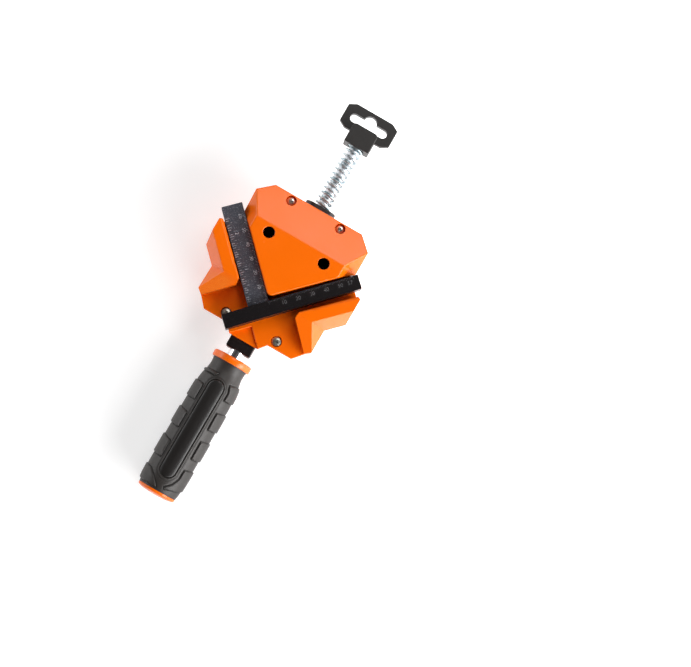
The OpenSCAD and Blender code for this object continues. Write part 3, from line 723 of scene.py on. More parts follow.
class CLAMP_OT_centre_block(bpy.types.Operator):
    """Make the V-shaped centre block with its slopes, holes and rounded edges"""
    bl_idname = "clamp.centre_block"
    bl_label = "Centre block"

    def execute(self, context):
        edge = context.scene.clamp_sizes.edge / MM
        low, crease = 30.3, 44.2 - APEX
        right = {"flat": (34.6, -3.6, TOP), "crease": (34.6, crease, TOP), "low": (44.2, crease, TOP - 15.0),
                 "high": (44.2, 22.2, 43.39), "rear": (34.1, BACK, TOP - 6.5), "v": (44.2, crease, low),
                 "side": (44.2, 22.2, low), "foot": (34.1, BACK, low)}
        bm = bmesh.new()
        tip = bm.verts.new((0, -APEX, TOP)), bm.verts.new((0, -APEX, low))
        r = {key: bm.verts.new(co) for key, co in right.items()}
        m = {key: bm.verts.new((-co[0], co[1], co[2])) for key, co in right.items()}
        bm.faces.new([tip[0], r["flat"], r["crease"], m["crease"], m["flat"]])
        bm.faces.new([r["crease"], r["high"], r["rear"], m["rear"], m["high"], m["crease"]])
        bm.faces.new([r["rear"], r["foot"], m["foot"], m["rear"]])
        bm.faces.new([tip[1], r["v"], r["side"], r["foot"], m["foot"], m["side"], m["v"]])
        for s in (r, m):
            bm.faces.new([s["flat"], s["low"], s["crease"]])
            bm.faces.new([s["crease"], s["low"], s["high"]])
            bm.faces.new([s["low"], s["v"], s["side"], s["high"]])
            bm.faces.new([s["high"], s["side"], s["foot"], s["rear"]])
            bm.faces.new([tip[0], tip[1], s["v"], s["low"], s["flat"]])
        bmesh.ops.recalc_face_normals(bm, faces=bm.faces)
        nose = [e for e in bm.edges if set(e.verts) == set(tip)]
        bmesh.ops.bevel(bm, geom=nose, offset=3.5, offset_type="OFFSET", segments=10, profile=0.5, affect="EDGES")
        round_edges(bm, edge, 3, 12.0, lambda e: min(v.co.z for v in e.verts) > low + 1.0)
        block = as_solid(bm)
        pedestal = round_edges(box(-31, 31, 8, BACK, 8.6, 31.5), 0.8, 2)
        bosses = []
        for x in (-21.5, 21.5):
            bosses.append(as_solid(post(x, 0, 8.6, 31.4, 7.0)))
            bosses.append(as_solid(box(x - 6.98, x + 6.98, 0, 9, 8.61, 31.3)))
        combine(block, [as_solid(pedestal)] + bosses, "UNION")
        cuts = []
        for x in (-21.5, 21.5):
            cuts.append(as_solid(post(x, 0, 5, TOP + 0.2, 4.1)))
            cuts.append(as_solid(post(x, 0, TOP - 0.35, TOP + 0.3, 4.05, lip=0.7)))
        for x in (-19.3, 19.3):
            cuts.append(as_solid(post(x, 27.2, 37.0, TOP + 1, 3.65)))
            cuts.append(as_solid(post(x, 27.2, 5, 38, 2.45)))
        for x in (-15, 15):
            cuts.append(as_solid(post(x, 14, 5, 14.61, 2.0)))
        for side in (-1, 1):
            socket = bmesh.new()
            bmesh.ops.create_cone(socket, cap_ends=True, segments=64, radius1=4.2, radius2=4.2, depth=20,
                                  matrix=Matrix.Translation((side * 22.0, 18, AXIS)) @ Matrix.Rotation(math.pi / 2, 4, "Y"))
            cuts.append(as_solid(socket))
        cuts.append(as_solid(rod(BACK - 20.02, BACK + 1, 7.03)))
        cuts.append(as_solid(rod(5, BACK, 5.0)))
        for x in (-9.3, 9.3):
            cuts.append(as_solid(lathe([(26.5, 0), (26.5, 1.25), (33, 1.25), (33, 0)], (x, AXIS), 24, False)))
        combine(block, cuts, "DIFFERENCE")
        even(block, 30.0)
        block.name = "block_body"
        paint(block, "orange_coat")
        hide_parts("centre_block")
        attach(block, "base")
        return {"FINISHED"}


def right_jaw_arm():
    root = math.sqrt(2.0)
    inner = jaw_point(33.5, 0)
    end = jaw_point(75.1, 0)
    notch = (34.5, 34.5 - JAW_APEX - 9.0 * root)
    low = (44.6, 44.6 - JAW_APEX - 15.5 * root)
    bm = prism([inner, notch, (44.6 - 3.25, low[1] - 3.25), low, (55.5, 55.5 - JAW_APEX - 15.5 * root),
                (55.5, end[1] - 1.1), end], FLOOR_LOW + 0.8, TOP)
    a, out = plane_of(jaw_point(0, 9.0) + (TOP,), jaw_point(111, 9.0) + (TOP,), jaw_point(0, 15.5) + (FLOOR,))
    return slice_off(bm, a, out)


def right_end_arm():
    root = math.sqrt(2.0)
    notch = (34.5, 34.5 - JAW_APEX - 9.0 * root)
    low = (44.6, 44.6 - JAW_APEX - 15.5 * root)
    tip = jaw_point(29.8, 27.8)
    side_y = tip[1] + (44.6 - tip[0]) * 0.82
    fall = (17.5 - 5.5) / (notch[1] - tip[1])
    side_z = TOP - (notch[1] - side_y) * fall
    bm = prism([jaw_point(33.5, 0), jaw_point(29.8, 3.0), tip, (44.6, side_y), low, notch,
                jaw_point(42.5, 8.1), jaw_point(42.5, 0.0)], FLOOR_LOW + 0.8, TOP)
    slope = Vector((0, -fall, 1)).normalized()
    slice_off(bm, Vector((0, notch[1], TOP)), slope)
    a, out = plane_of(notch + (TOP,), low + (FLOOR,), (44.6, side_y, side_z))
    return slice_off(bm, a, out)


class CLAMP_OT_jaws(bpy.types.Operator):
    """Make the sliding casting with its two jaws, end arms, floor and ribs"""
    bl_idname = "clamp.jaws"
    bl_label = "Jaw casting"

    def execute(self, context):
        edge = context.scene.clamp_sizes.edge / MM
        end = jaw_point(75.1, 0)
        tip = jaw_point(29.8, 27.8)
        half = [(11.3, -71.845), (15.8, -66.145), (34.6, -66.145), tip, (44.6, tip[1] + (44.6 - tip[0]) * 0.82),
                (44.6, -37.865), (55.5, -26.965), (55.5, end[1] - 1.1), end, (end[0] - (7.5 - end[1]), 7.5)]
        outline = half + [(-x, y) for x, y in reversed(half)]
        casting = as_solid(round_edges(prism(outline, FLOOR_LOW, FLOOR), 0.5, 2))
        arms = []
        for make in (right_jaw_arm, right_end_arm):
            bm = make()
            round_edges(bm, 2.0, 8, 12.0, lambda e: all(v.co.z > TOP - 0.01 and abs(v.co.y - v.co.x + JAW_APEX) < 0.01
                                                        for v in e.verts))
            round_edges(bm, edge, 3, 12.0, lambda e: min(v.co.z for v in e.verts) > FLOOR + 0.2
                        or abs(e.verts[0].co.z - e.verts[1].co.z) > 8.0)
            arms += [as_solid(mirrored(bm)), as_solid(bm)]
        rib = round_edges(box(32.9, 40.0, -54.045, 7.0, 4.0, 27.0), 0.5, 2)
        foot_x, foot_y = jaw_point(62, 5)
        foot = post(foot_x, foot_y, 0.0, 27.0, 5.0)
        under = [as_solid(mirrored(rib)), as_solid(rib), as_solid(mirrored(foot)), as_solid(foot),
                 as_solid(box(-33.5, 33.5, -50.645, -46.645, 9.1, 27.0))]
        combine(casting, arms + under, "UNION")
        cuts = [as_solid(prism([(0, -JAW_APEX), (21, -JAW_APEX - 21), (-21, -JAW_APEX - 21)], FLOOR - 2.5, TOP))]
        for x in (-21.5, 21.5):
            cuts.append(as_solid(post(x, 0, 25, 31, 7.5)))
            cuts.append(as_solid(box(x - 7.49, x + 7.49, 0, 9, 25, 31)))
        lip = prism([(0, -JAW_APEX), (21, -JAW_APEX - 21), (-21, -JAW_APEX - 21)], FLOOR - 0.45, FLOOR + 0.1)
        for v in lip.verts:
            if v.co.z > FLOOR:
                v.co.y += 0.78
        cuts.append(as_solid(lip))
        for x in (-20, 20):
            cuts.append(as_solid(post(x, -60.845, FLOOR - 2.6, 31, 3.8)))
            cuts.append(as_solid(post(x, -60.845, 25, 28, 2.0)))
        for x in (-36.45, 36.45):
            for y in (-47.9, -23.3, 0.9):
                cuts.append(as_solid(post(x, y, 3, 12.01, 1.47, sides=24)))
        cuts.append(as_solid(rod(-52, -45, 6.0)))
        combine(casting, cuts, "DIFFERENCE")
        even(casting, 30.0)
        casting.name = "jaw_body"
        paint(casting, "orange_coat")
        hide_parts("jaw_casting")
        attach(casting, "carriage")
        return {"FINISHED"}


def pan_screw(head_r, head_h, shank_r, length):
    """One cross-recessed screw, its head's top at the origin."""
    arc = [(head_r * math.sin(a), head_h * 0.45 * (math.cos(a) - 1)) for a in
           [math.radians(d) for d in (0, 20, 40, 60, 75, 90)]]
    drop = -head_h * 0.45
    outline = [(z, r) for r, z in arc] + [(-head_h, head_r), (-head_h, shank_r), (-length, shank_r), (-length, 0)]
    bm = lathe([(z, r) for z, r in outline], (0.0, 0.0), 48, False)
    bmesh.ops.rotate(bm, verts=bm.verts, matrix=Matrix.Rotation(math.pi / 2, 3, "X"))
    screw = as_solid(bm)
    cross = []
    for turn in (0.0, math.pi / 2):
        bar = box(-head_r * 0.68, head_r * 0.68, -head_r * 0.17, head_r * 0.17, -head_h * 0.8, head_h)
        for v in bar.verts:
            if v.co.z < 0:
                v.co.x *= 0.45
                v.co.y *= 0.8
        bmesh.ops.rotate(bar, verts=bar.verts, matrix=Matrix.Rotation(turn + 0.5, 3, "Z"))
        cross.append(as_solid(bar))
    combine(screw, cross, "DIFFERENCE")
    return screw, drop


class CLAMP_OT_screws(bpy.types.Operator):
    """Make the cross-recessed screws of the block and of the jaws' floor"""
    bl_idname = "clamp.screws"
    bl_label = "Screws"

    def execute(self, context):
        tree = copies_tree()
        for name, node, body, x, y, z, sizes, turn, finish in (
                ("block_screw_pair", "block_screws", "base", 19.3, 27.2, 39.4, (3.0, 2.4, 2.4, 37.4), 1.1,
                 "zinc_bright"),
                ("floor_screw_pair", "floor_screws", "carriage", 20.0, -60.845, 29.7, (3.45, 2.3, 1.95, 7.8), 0.7,
                 "zinc_screw")):
            screw, _ = pan_screw(*sizes)
            grow(name, tree, screw, count=2, step=(2 * x * MM, 0.0, 0.0), turn=turn,
                 material=Finish.made[finish])
            screw.data.transform(Matrix.Translation((-x * MM, y * MM, z * MM)))
            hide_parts(node)
            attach(screw, body)
        return {"FINISHED"}


class CLAMP_OT_thrust_block(bpy.types.Operator):
    """Make the black thrust block that the handle's shaft pushes on"""
    bl_idname = "clamp.thrust_block"
    bl_label = "Thrust block"

    def execute(self, context):
        body = as_solid(round_edges(box(-9.4, 9.4, -79.945, -55.045, 12.0, 26.0), 1.3, 2))
        wings = as_solid(round_edges(box(-26, 26, -64.545, -55.045, 18.2, 26.0), 0.6, 2))
        combine(body, [wings], "UNION")
        cuts = [as_solid(rod(-81, -75.945, 5.8)), as_solid(rod(-76, -54, 5.63))]
        for x in (-20, 20):
            cuts.append(as_solid(post(x, -60.845, 20.2, 27, 1.97, sides=32)))
        combine(body, cuts, "DIFFERENCE")
        even(body)
        body.name = "thrust_body"
        paint(body, "black_coat")
        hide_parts("thrust_block")
        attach(body, "carriage")
        return {"FINISHED"}


class CLAMP_OT_lead_screw(bpy.types.Operator):
    """Make the screw: bright shaft, thread and the turned-down end"""
    bl_idname = "clamp.lead_screw"
    bl_label = "Screw"

    def execute(self, context):
        pitch = context.scene.clamp_sizes.pitch / MM
        shaft = [(-121.0, 0), (-121.0, 4.0), (-120.6, 4.45), (COLLAR, 4.45), (COLLAR, 5.5), (-77.5, 5.5), (-77.1, 5.1),
                 (-77.05, 4.5), (-53.9, 4.5), (-53.9, 3.9), (-52.8, 3.9), (-52.8, 4.5), (-45, 4.5), (-44.4, 3.85),
                 (86.9, 3.85), (87.6, 3.4), (87.6, 3.0), (96.0, 3.0), (96.3, 2.7), (96.3, 0)]
        core = as_solid(lathe(shaft, sides=96, close=False))
        smooth(core.data, 25.0)
        length = 130.5
        ridge = grow("ridge", coil_tree(), turns=length / pitch, steps=30, radius=3.92 * MM, length=length * MM,
                     wire=0.62 * MM, sides=6, flat=0.75, material=Finish.made["zinc_wire"])
        ridge.data.transform(Matrix.Translation((0, -44.0 * MM, AXIS * MM)))
        paint(core, "bright_steel")
        core.name = "screw_shaft"
        ridge.name = "screw_thread"
        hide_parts("lead_screw")
        for piece in (core, ridge):
            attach(piece, "spindle")
        return {"FINISHED"}


class CLAMP_OT_spring(bpy.types.Operator):
    """Wind the return spring at one length; nothing here shortens it as the jaws open"""
    bl_idname = "clamp.spring"
    bl_label = "Return spring"

    def execute(self, context):
        sizes = context.scene.clamp_sizes
        wire = sizes.wire / MM
        length = SPRING_END - SPRING_START
        spring = grow("spring_coil", coil_tree(), turns=float(sizes.turns), steps=36, radius=(6.15 - wire / 2) * MM,
                      length=(length - wire - 0.04) * MM, wire=wire / 2 * MM, sides=12, flat=1.0,
                      material=Finish.made["zinc_wire"])
        spring.data.transform(Matrix.Translation((0, (SPRING_START + wire / 2 + 0.02) * MM, AXIS * MM)))
        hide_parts("return_spring")
        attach(spring, "base")
        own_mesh(spring)
        return {"FINISHED"}


def stadium(half, radius, steps=20):
    turn = [math.pi * k / steps - math.pi / 2 for k in range(steps + 1)]
    right = [(half - radius + radius * math.cos(a), radius * math.sin(a)) for a in turn]
    return right + [(-x, -y) for x, y in right]


def along_screw(bm, y):
    """Turns a solid standing on Z so that it lies along the screw from y."""
    bmesh.ops.rotate(bm, verts=bm.verts, matrix=Matrix.Rotation(-math.pi / 2, 3, "X"))
    bmesh.ops.translate(bm, verts=bm.verts, vec=(0, y, AXIS))
    return bm


class CLAMP_OT_nut(bpy.types.Operator):
    """Make the black flanged nut in the block's rear wall"""
    bl_idname = "clamp.nut"
    bl_label = "Flanged nut"

    def execute(self, context):
        flange = round_edges(prism(stadium(11.4, 6.6), 0, 4.8), 0.7, 3, 40.0)
        nut = as_solid(along_screw(flange, BACK))
        combine(nut, [as_solid(rod(11.6, 33, 6.98))], "UNION")
        cuts = [as_solid(rod(10, 38, 4.56))]
        for x in (-9.3, 9.3):
            cuts.append(as_solid(lathe([(30, 0), (30, 1.23), (35, 1.23), (35, 0)], (x, AXIS), 24, False)))
        combine(nut, cuts, "DIFFERENCE")
        even(nut)
        nut.name = "nut_body"
        paint(nut, "black_oxide")
        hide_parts("screw_nut")
        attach(nut, "base")
        return {"FINISHED"}


class CLAMP_OT_hang_tab(bpy.types.Operator):
    """Make the hanging tab with its hood and keyhole slot"""
    bl_idname = "clamp.hang_tab"
    bl_label = "Hanging tab"

    def execute(self, context):
        rear = 98.9
        far, near, corner = rear + 13.2, rear - 5.3, 2.9
        side = [(14.5, near), (19.6, near + corner), (19.6, far - corner), (14.2, far)]
        plate = round_edges(prism(side + [(-x, y) for x, y in reversed(side)], 17, 23), 0.6, 3)
        hood_side = [(9.7, 84.2), (9.7, rear - 2.1), (8.9, rear - 0.6), (7.4, rear)]
        hood = prism(hood_side + [(-x, y) for x, y in reversed(hood_side)], 11, 29)
        round_edges(hood, 1.5, 3, 40.0, lambda e: all(abs(v.co.x) > 9.0 for v in e.verts)
                    and abs(e.verts[0].co.z - e.verts[1].co.z) < 1 and abs(e.verts[0].co.y - e.verts[1].co.y) > 5)
        round_edges(hood, 0.5, 2, 30.0)
        tab = as_solid(plate)
        combine(tab, [as_solid(hood)], "UNION")
        slot_y = rear + 3.52
        lobe = [(x, y + slot_y) for x, y in stadium(14.4, 3.2)]
        cuts = [as_solid(prism(lobe, 15, 25)), as_solid(post(0, slot_y + 2.2, 15, 25, 4.85)),
                as_solid(rod(83, 87.7, 6.45)), as_solid(rod(87, 91, 3.06)),
                as_solid(box(-6.5, 6.5, 90.5, 96.9, 8, 26.5))]
        combine(tab, cuts, "DIFFERENCE")
        even(tab)
        tab.name = "tab_body"
        paint(tab, "moulded_black")
        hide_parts("hang_tab")
        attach(tab, "hang_tab")
        return {"FINISHED"}


# The grip

GRIP_FRONT = COLLAR - 4.9
GRIP_BACK = CAP_END + 3.4
GRIP_R = 15.2
# Distance behind the place that the pads are measured from, and radius of the grip
GRIP_PROFILE = [(5.7, 12.9), (7.9, 12.36), (11.4, 12.3), (15.0, 12.9), (19.0, 14.0), (24.0, 14.7), (32.2, 14.96),
                (49.5, 15.1), (90.1, 15.1), (99.2, 14.8), (103.3, 14.3), (105.3, 13.84)]
# Corners of the pads: distance behind that place and place across the grip seen from above
LEFT_PADS = [
    [(15.4, 3.4), (17.9, 6.3), (17.2, 17.7), (15.3, 17.7)],
    [(24.4, 17.7), (26.9, 9.4), (38.9, 9.4), (37.8, 17.7)],
    [(45.0, 17.7), (49.0, 9.4), (60.7, 9.4), (59.0, 17.7)],
    [(66.7, 17.7), (71.3, 9.3), (84.0, 9.4), (82.0, 17.7)],
    [(90.4, 17.7), (93.7, 11.5), (97.3, 7.1), (100.5, 3.9), (103.5, 1.4), (103.2, 17.7)]]
RIGHT_PADS = [
    [(16.1, 17.7), (18.9, 8.5), (24.5, 10.1), (30.0, 9.9), (29.0, 17.7)],
    [(36.8, 17.7), (39.8, 9.9), (52.6, 10.1), (51.0, 17.7)],
    [(58.7, 17.7), (62.0, 10.2), (75.5, 10.3), (74.1, 17.7)],
    [(81.2, 17.7), (84.4, 10.4), (91.9, 10.1), (96.8, 7.9), (101.0, 3.5), (102.1, 4.2), (96.3, 17.7)]]


def unrolled(across):
    """Distance round the grip from its top line, for a place seen from above."""
    return GRIP_R * math.pi / 2 + 8.0 if across > 17 else GRIP_R * math.asin(min(1.0, across / 16.05))


def edge_distance(along, across, corners):
    """Signed distance from a pad's outline, negative inside it."""
    points = [(a, unrolled(c)) for a, c in corners]
    best = np.full(along.shape, 1e9)
    inside = np.zeros(along.shape, dtype=bool)
    for (ax, ay), (bx, by) in zip(points, points[1:] + points[:1]):
        ex, ey = bx - ax, by - ay
        t = np.clip(((along - ax) * ex + (across - ay) * ey) / (ex * ex + ey * ey), 0.0, 1.0)
        best = np.minimum(best, np.hypot(along - ax - t * ex, across - ay - t * ey))
        if ay != by:
            hit = ((ay > across) != (by > across)) & (along < (bx - ax) * (across - ay) / (by - ay) + ax)
            inside ^= hit
    return np.where(inside, -best, best)


def ease(x):
    x = np.clip(x, 0.0, 1.0)
    return x * x * (3.0 - 2.0 * x)


class CLAMP_OT_grip(bpy.types.Operator):
    """Make the rubber grip with its pads and grooves"""
    bl_idname = "clamp.grip"
    bl_label = "Grip"

    def execute(self, context):
        pad = context.scene.clamp_sizes.pad / MM
        around, rows = 288, 250
        behind = np.linspace(PAD_ZERO - GRIP_FRONT, PAD_ZERO - GRIP_BACK, rows)
        turn = np.arange(around) * 2 * math.pi / around
        a, t = np.meshgrid(behind, turn, indexing="ij")
        knots = np.array(GRIP_PROFILE)
        radius = np.interp(a, knots[:, 0], knots[:, 1])
        for _ in range(6):
            radius[1:-1] = (radius[:-2] + 2 * radius[1:-1] + radius[2:]) / 4
        folded = np.arcsin(np.sin(t))
        across = np.abs(folded) * GRIP_R
        near = np.full(a.shape, 1e9)
        for pads, side in ((LEFT_PADS, -1), (RIGHT_PADS, 1)):
            on_side = np.sign(np.sin(t)) == side
            for corners in pads:
                d = edge_distance(a, across, corners)
                near = np.where(on_side, np.minimum(near, d), near)
        rise = ease((0.1 - near) / 0.55)
        groove = np.exp(-((near - 0.3) / 0.28) ** 2)
        middle = (19.7 + 19.7 + 75.0) / 2
        half = 75.0 / 2 - 5.8
        stretch = np.maximum(np.abs(a - middle) - half, 0.0)
        panel = np.hypot(stretch, across) - 5.8
        well = ease((0.45 - panel) / 0.4)
        rim = ease(1.0 - np.abs(panel - 1.15) / 0.75)
        radius = radius + pad * rise - 0.35 * groove - 1.1 * well + 0.22 * rim
        # The rim attribute also runs along each inlay's edge, so the rubber's painted groove shade falls there too.
        nearest = np.where(np.abs(panel - 2.05) + 0.1 < np.abs(near), 0.28 + (panel - 2.05) * 1.4, near)
        radius = radius - 0.2 * np.exp(-((panel - 2.05) / 0.3) ** 2)
        x = radius * np.sin(t)
        z = AXIS + radius * np.cos(t)
        y = PAD_ZERO - a
        verts = np.stack([x, y, z], axis=-1).reshape(-1, 3)
        inner = []
        for end in (GRIP_FRONT, GRIP_BACK):
            inner += [(8.55 * math.sin(w), end, AXIS + 8.55 * math.cos(w)) for w in turn]
        verts = np.concatenate([verts, np.array(inner)])
        faces = []
        ring = lambda i, k: i * around + k % around
        for i in range(rows - 1):
            faces += [(ring(i, k), ring(i + 1, k), ring(i + 1, k + 1), ring(i, k + 1)) for k in range(around)]
        first, last = rows * around, (rows + 1) * around
        for k in range(around):
            m = (k + 1) % around
            faces.append((ring(0, k), ring(0, k + 1), first + m, first + k))
            faces.append((ring(rows - 1, k + 1), ring(rows - 1, k), last + k, last + m))
            faces.append((first + k, first + m, last + m, last + k))
        mesh = bpy.data.meshes.new("grip_body")
        mesh.from_pydata((verts * MM).tolist(), [], faces)
        marks = mesh.attributes.new("rim", "FLOAT", "POINT")
        values = np.full(len(verts), 5.0, dtype=np.float32)
        values[:rows * around] = nearest.reshape(-1)
        marks.data.foreach_set("value", values)
        smooth(mesh, 60.0)
        grip = new_piece("grip_body", mesh)
        bm = bmesh.new()
        bm.from_mesh(mesh)
        bmesh.ops.recalc_face_normals(bm, faces=bm.faces)
        bm.to_mesh(mesh)
        bm.free()
        paint(grip, "grip_rubber")
        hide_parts("grip_sleeve")
        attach(grip, "spindle")
        return {"FINISHED"}


class CLAMP_OT_grip_panels(bpy.types.Operator):
    """Make the two smooth inlays of the grip"""
    bl_idname = "clamp.grip_panels"
    bl_label = "Grip inlays"

    def execute(self, context):
        half, radius, steps = 75.0 / 2, 5.75, 24
        middle = PAD_ZERO - 19.7 - half
        # Inset from the outline and height over the grip
        rise = [(0.0, -1.0), (0.0, -0.1), (0.12, 0.1), (0.35, 0.25), (0.8, 0.35), (1.8, 0.42), (3.2, 0.46), (5.2, 0.48)]
        bm = bmesh.new()
        for up in (1, -1):
            rings = []
            for inset, height in rise:
                ring = []
                for x, y in stadium(half - inset, radius - inset, steps):
                    angle = y / GRIP_R
                    r = 15.05 + height
                    ring.append(bm.verts.new((r * math.sin(angle), middle + x, AXIS + up * r * math.cos(angle))))
                rings.append(ring)
            for low, high in zip(rings, rings[1:]):
                for k in range(len(low)):
                    m = (k + 1) % len(low)
                    bm.faces.new([low[k], low[m], high[m], high[k]])
            top = rings[-1]
            n = len(top)
            for k in range(steps // 2, 0, -1):
                pass
            bm.faces.new(top)
            bm.faces.new(list(reversed(rings[0])))
        panels = from_bmesh("grip_inlays", bm, 50.0)
        paint(panels, "panel_gloss")
        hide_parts("grip_panels")
        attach(panels, "spindle")
        return {"FINISHED"}


class CLAMP_OT_handle_ends(bpy.types.Operator):
    """Make the orange collar with its tube and the domed end cap"""
    bl_idname = "clamp.handle_ends"
    bl_label = "Handle ends"

    def execute(self, context):
        r, b = 14.3, GRIP_FRONT
        core = [(COLLAR, 4.52), (COLLAR, r - 0.9), (COLLAR - 0.25, r - 0.3), (COLLAR - 0.8, r), (b + 0.6, r),
                (b + 0.2, r - 0.2), (b, r - 0.6), (b, 8.5), (GRIP_BACK, 8.5), (GRIP_BACK, 6.02), (-179.5, 6.02),
                (-179.5, 5.0), (-121.2, 5.0), (-121.2, 4.52)]
        collar = as_solid(lathe(core, sides=128))
        smooth(collar.data, 40.0)
        end, r = CAP_END, 13.9
        dome = [(-179.545, 0), (-179.545, 6.0), (GRIP_BACK + 0.02, 6.0), (GRIP_BACK + 0.02, r - 0.3),
                (GRIP_BACK - 0.3, r), (end + 2.2, r), (end + 1.6, r - 0.4), (end + 1.1, r - 1.5), (end + 0.65, r - 3.5),
                (end + 0.3, r - 6.5), (end + 0.08, r - 10.0), (end, 0)]
        cap = as_solid(lathe(dome, sides=128, close=False))
        smooth(cap.data, 40.0)
        for piece, name, node in ((collar, "collar_and_tube", "handle_core"), (cap, "end_cap", "handle_end_cap")):
            piece.name = name
            paint(piece, "orange_plastic")
            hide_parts(node)
            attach(piece, "spindle")
        return {"FINISHED"}


def bar_frame(degrees):
    """Places a bar that is drawn along X from the V's sharp point."""
    return Matrix.Translation((0, -APEX * MM, 0)) @ Matrix.Rotation(math.radians(degrees), 4, "Z")


def number(text, size, x, y, z, turn):
    """A generic number laid flat."""
    curve = bpy.data.curves.new("number", "FONT")
    curve.body = text
    curve.size = size * MM
    curve.align_x = "CENTER"
    curve.align_y = "CENTER"
    curve.extrude = 0.03 * MM
    curve.resolution_u = 3
    made = bpy.data.objects.new("number", curve)
    bpy.context.scene.collection.objects.link(made)
    graph = bpy.context.evaluated_depsgraph_get()
    graph.update()
    mesh = bpy.data.meshes.new_from_object(made.evaluated_get(graph))
    bpy.data.objects.remove(made)
    bpy.data.curves.remove(curve)
    mesh.transform(Matrix.Translation((x * MM, y * MM, z * MM)) @ Matrix.Rotation(turn, 4, "Z"))
    return new_piece("number", mesh)


class CLAMP_OT_bars(bpy.types.Operator):
    """Make the two ruled bars that lie in the jaws"""
    bl_idname = "clamp.bars"
    bl_label = "Ruled bars"

    def execute(self, context):
        tree = marks_tree()
        for name, degrees, sizes, finish, ink in (
                ("long_bar", 46.6, (-34.0, 63.0, -12.89, -2.69, 44.6), "anodised_black", "scale_ink_faint"),
                ("short_bar", 135, (-2.59, 67.91, 0.2, 14.8, 40.2), "anodised_grey", "scale_ink")):
            x0, x1, y0, y1, top = sizes
            bar = as_solid(round_edges(box(x0, x1, y0, y1, FLOOR, top), 0.35, 2))
            settle(bar)
            bar.name = name + "_body"
            paint(bar, finish)
            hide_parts(name)
            scales = []
            if name == "short_bar":
                # Millimetres along the block's side, inches along the outer side
                zero = -1.3
                fine = grow("fine", tree, marks=61, spacing=MM, width=0.2 * MM, depth=0.05 * MM, short=1.3 * MM,
                            middle=1.9 * MM, long=2.5 * MM, middle_each=5, long_each=10, material=Finish.made[ink])
                fine.data.transform(Matrix.Translation((zero * MM, (y0 + 0.3) * MM, top * MM)))
                scales = [fine]
                for count, spacing, short, long in ((39, 1.5875, 2.0, 2.9), (10, 6.35, 3.6, 4.3), (3, 25.4, 5.6, 5.6)):
                    inch = grow("inch", tree, marks=count, spacing=spacing * MM, width=0.26 * MM, depth=0.05 * MM,
                                short=short * MM, middle=long * MM, long=long * MM, middle_each=2, long_each=2,
                                material=Finish.made[ink])
                    inch.data.transform(Matrix.Translation((zero * MM, (y1 - 0.4) * MM, top * MM))
                                        @ Matrix.Rotation(math.pi, 4, "X"))
                    scales.append(inch)
                scales += [number(str(n), 3.3, n + zero, y0 + 3.9, top, math.pi) for n in (10, 20, 30, 40, 50, 60)]
                scales += [number(str(n), 3.6, 25.4 * n + zero - 1.8, y1 - 5.6, top, math.pi) for n in (1, 2)]
            else:
                zero = -0.6
                fine = grow("fine", tree, marks=61, spacing=MM, width=0.16 * MM, depth=0.05 * MM, short=1.2 * MM,
                            middle=1.7 * MM, long=2.3 * MM, middle_each=5, long_each=10, material=Finish.made[ink])
                fine.data.transform(Matrix.Translation((zero * MM, (y1 - 0.3) * MM, top * MM))
                                    @ Matrix.Rotation(math.pi, 4, "X"))
                scales = [fine] + [number(str(n), 3.8, n + zero, y1 - 4.2, top, 0.0) for n in (10, 20, 30, 40, 50, 57)]
            marks = join(name + "_scale", scales)
            paint(marks, ink)
            for piece in (bar, marks):
                piece.data.transform(bar_frame(degrees))
                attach(piece, name)
        return {"FINISHED"}


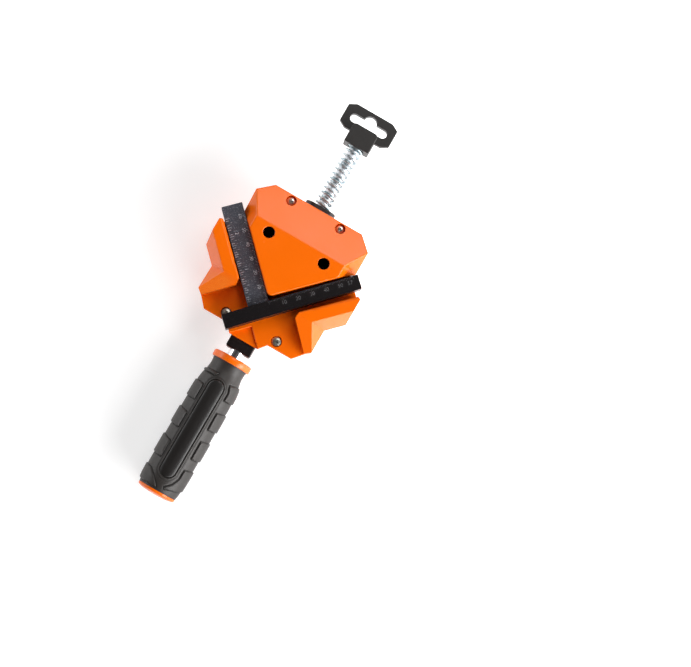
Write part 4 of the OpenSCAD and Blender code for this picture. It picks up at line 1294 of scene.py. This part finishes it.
class CLAMP_OT_studio(bpy.types.Operator):
    """Set the floor, the soft lights and the camera"""
    bl_idname = "clamp.studio"
    bl_label = "Studio"

    def execute(self, context):
        scene = context.scene
        scene.view_settings.view_transform = "Standard"
        scene.view_settings.look = "None"
        floor = as_solid(box(-1500, 1500, -1500, 1500, -4, -0.05))
        floor.name = "studio_table"
        paint(floor, "studio_floor")
        world = bpy.data.worlds.new("studio_air")
        world.use_nodes = True
        air = Nodes(world.node_tree)
        sky = air.add("ShaderNodeSeparateXYZ", None, {0: air.add("ShaderNodeTexCoord").out("Generated")})
        glow = air.ramp(sky.out("Z"), (0.0, 1.0), (0.2, 0.85), (0.38, 0.25), (1.0, 0.03))
        air.feed(world.node_tree.nodes["Background"].inputs["Color"], glow)
        world.node_tree.nodes["Background"].inputs["Strength"].default_value = 0.75
        scene.world = world
        aim = Vector((0.0, -0.03, 0.02))
        up = Vector((-0.5, 0.866, 0.0))
        right = Vector((0.866, 0.5, 0.0))
        for name, place, width, height, power in (
                ("rear_panel", Vector((0.1, 0.62, 1.05)), 0.6, 0.4, 3.6),
                ("key_panel", right * 0.74 - up * 0.76 + Vector((0, 0, 0.62)), 1.2, 0.6, 18.0),
                ("right_panel", right * 0.95 - up * 0.35 + Vector((0, 0, 0.28)), 1.2, 0.45, 4.0),
                ("left_panel", -right * 0.85 + up * 0.5 + Vector((0, 0, 0.36)), 1.0, 0.45, 4.0)):
            lamp = bpy.data.lights.new(name, "AREA")
            lamp.shape = "RECTANGLE"
            lamp.size, lamp.size_y, lamp.energy = width, height, power
            item = bpy.data.objects.new(name, lamp)
            scene.collection.objects.link(item)
            item.location = place
            item.rotation_euler = (aim - place).to_track_quat("-Z", "Y").to_euler()
        away, width, scale = 1.40067, 691, 1471.93
        data = bpy.data.cameras.new("camera")
        data.sensor_width = 36.0
        data.lens = 36.0 * scale * away / width
        data.clip_end = 50.0
        camera = bpy.data.objects.new("camera", data)
        scene.collection.objects.link(camera)
        camera.matrix_world = (
            Matrix.Translation((0.05814, -0.03392, TOP * MM)) @ Matrix.Rotation(math.radians(30.091), 4, "Z")
            @ Matrix.Rotation(math.radians(4.552), 4, "X") @ Matrix.Rotation(math.radians(-3.106), 4, "Y")
            @ Matrix.Translation((0, 0, away)))
        scene.camera = camera
        return {"FINISHED"}


STEPS = (CLAMP_OT_finishes, CLAMP_OT_centre_block, CLAMP_OT_jaws, CLAMP_OT_screws, CLAMP_OT_thrust_block,
         CLAMP_OT_lead_screw, CLAMP_OT_spring, CLAMP_OT_nut, CLAMP_OT_hang_tab, CLAMP_OT_grip,
         CLAMP_OT_grip_panels, CLAMP_OT_handle_ends, CLAMP_OT_bars, CLAMP_OT_studio)


class CLAMP_PT_panel(bpy.types.Panel):
    """Lists the clamp's pieces"""
    bl_idname = "CLAMP_PT_panel"
    bl_label = "Corner clamp"
    bl_space_type = "VIEW_3D"
    bl_region_type = "UI"
    bl_category = "Clamp"

    def draw(self, context):
        for group in (context.scene.clamp_look, context.scene.clamp_sizes):
            box_ = self.layout.box()
            for key in group.__annotations__:
                box_.prop(group, key)
        for step in STEPS:
            self.layout.operator(step.bl_idname)


CLASSES = (ClampLook, ClampSizes) + STEPS + (CLAMP_PT_panel,)


def register():
    for item in CLASSES:
        bpy.utils.register_class(item)
    bpy.types.Scene.clamp_look = PointerProperty(type=ClampLook)
    bpy.types.Scene.clamp_sizes = PointerProperty(type=ClampSizes)


def unregister():
    del bpy.types.Scene.clamp_sizes
    del bpy.types.Scene.clamp_look
    for item in reversed(CLASSES):
        bpy.utils.unregister_class(item)


def main():
    register()
    for step in STEPS:
        group, name = step.bl_idname.split(".")
        getattr(getattr(bpy.ops, group), name)()


if __name__ == "__main__":
    main()
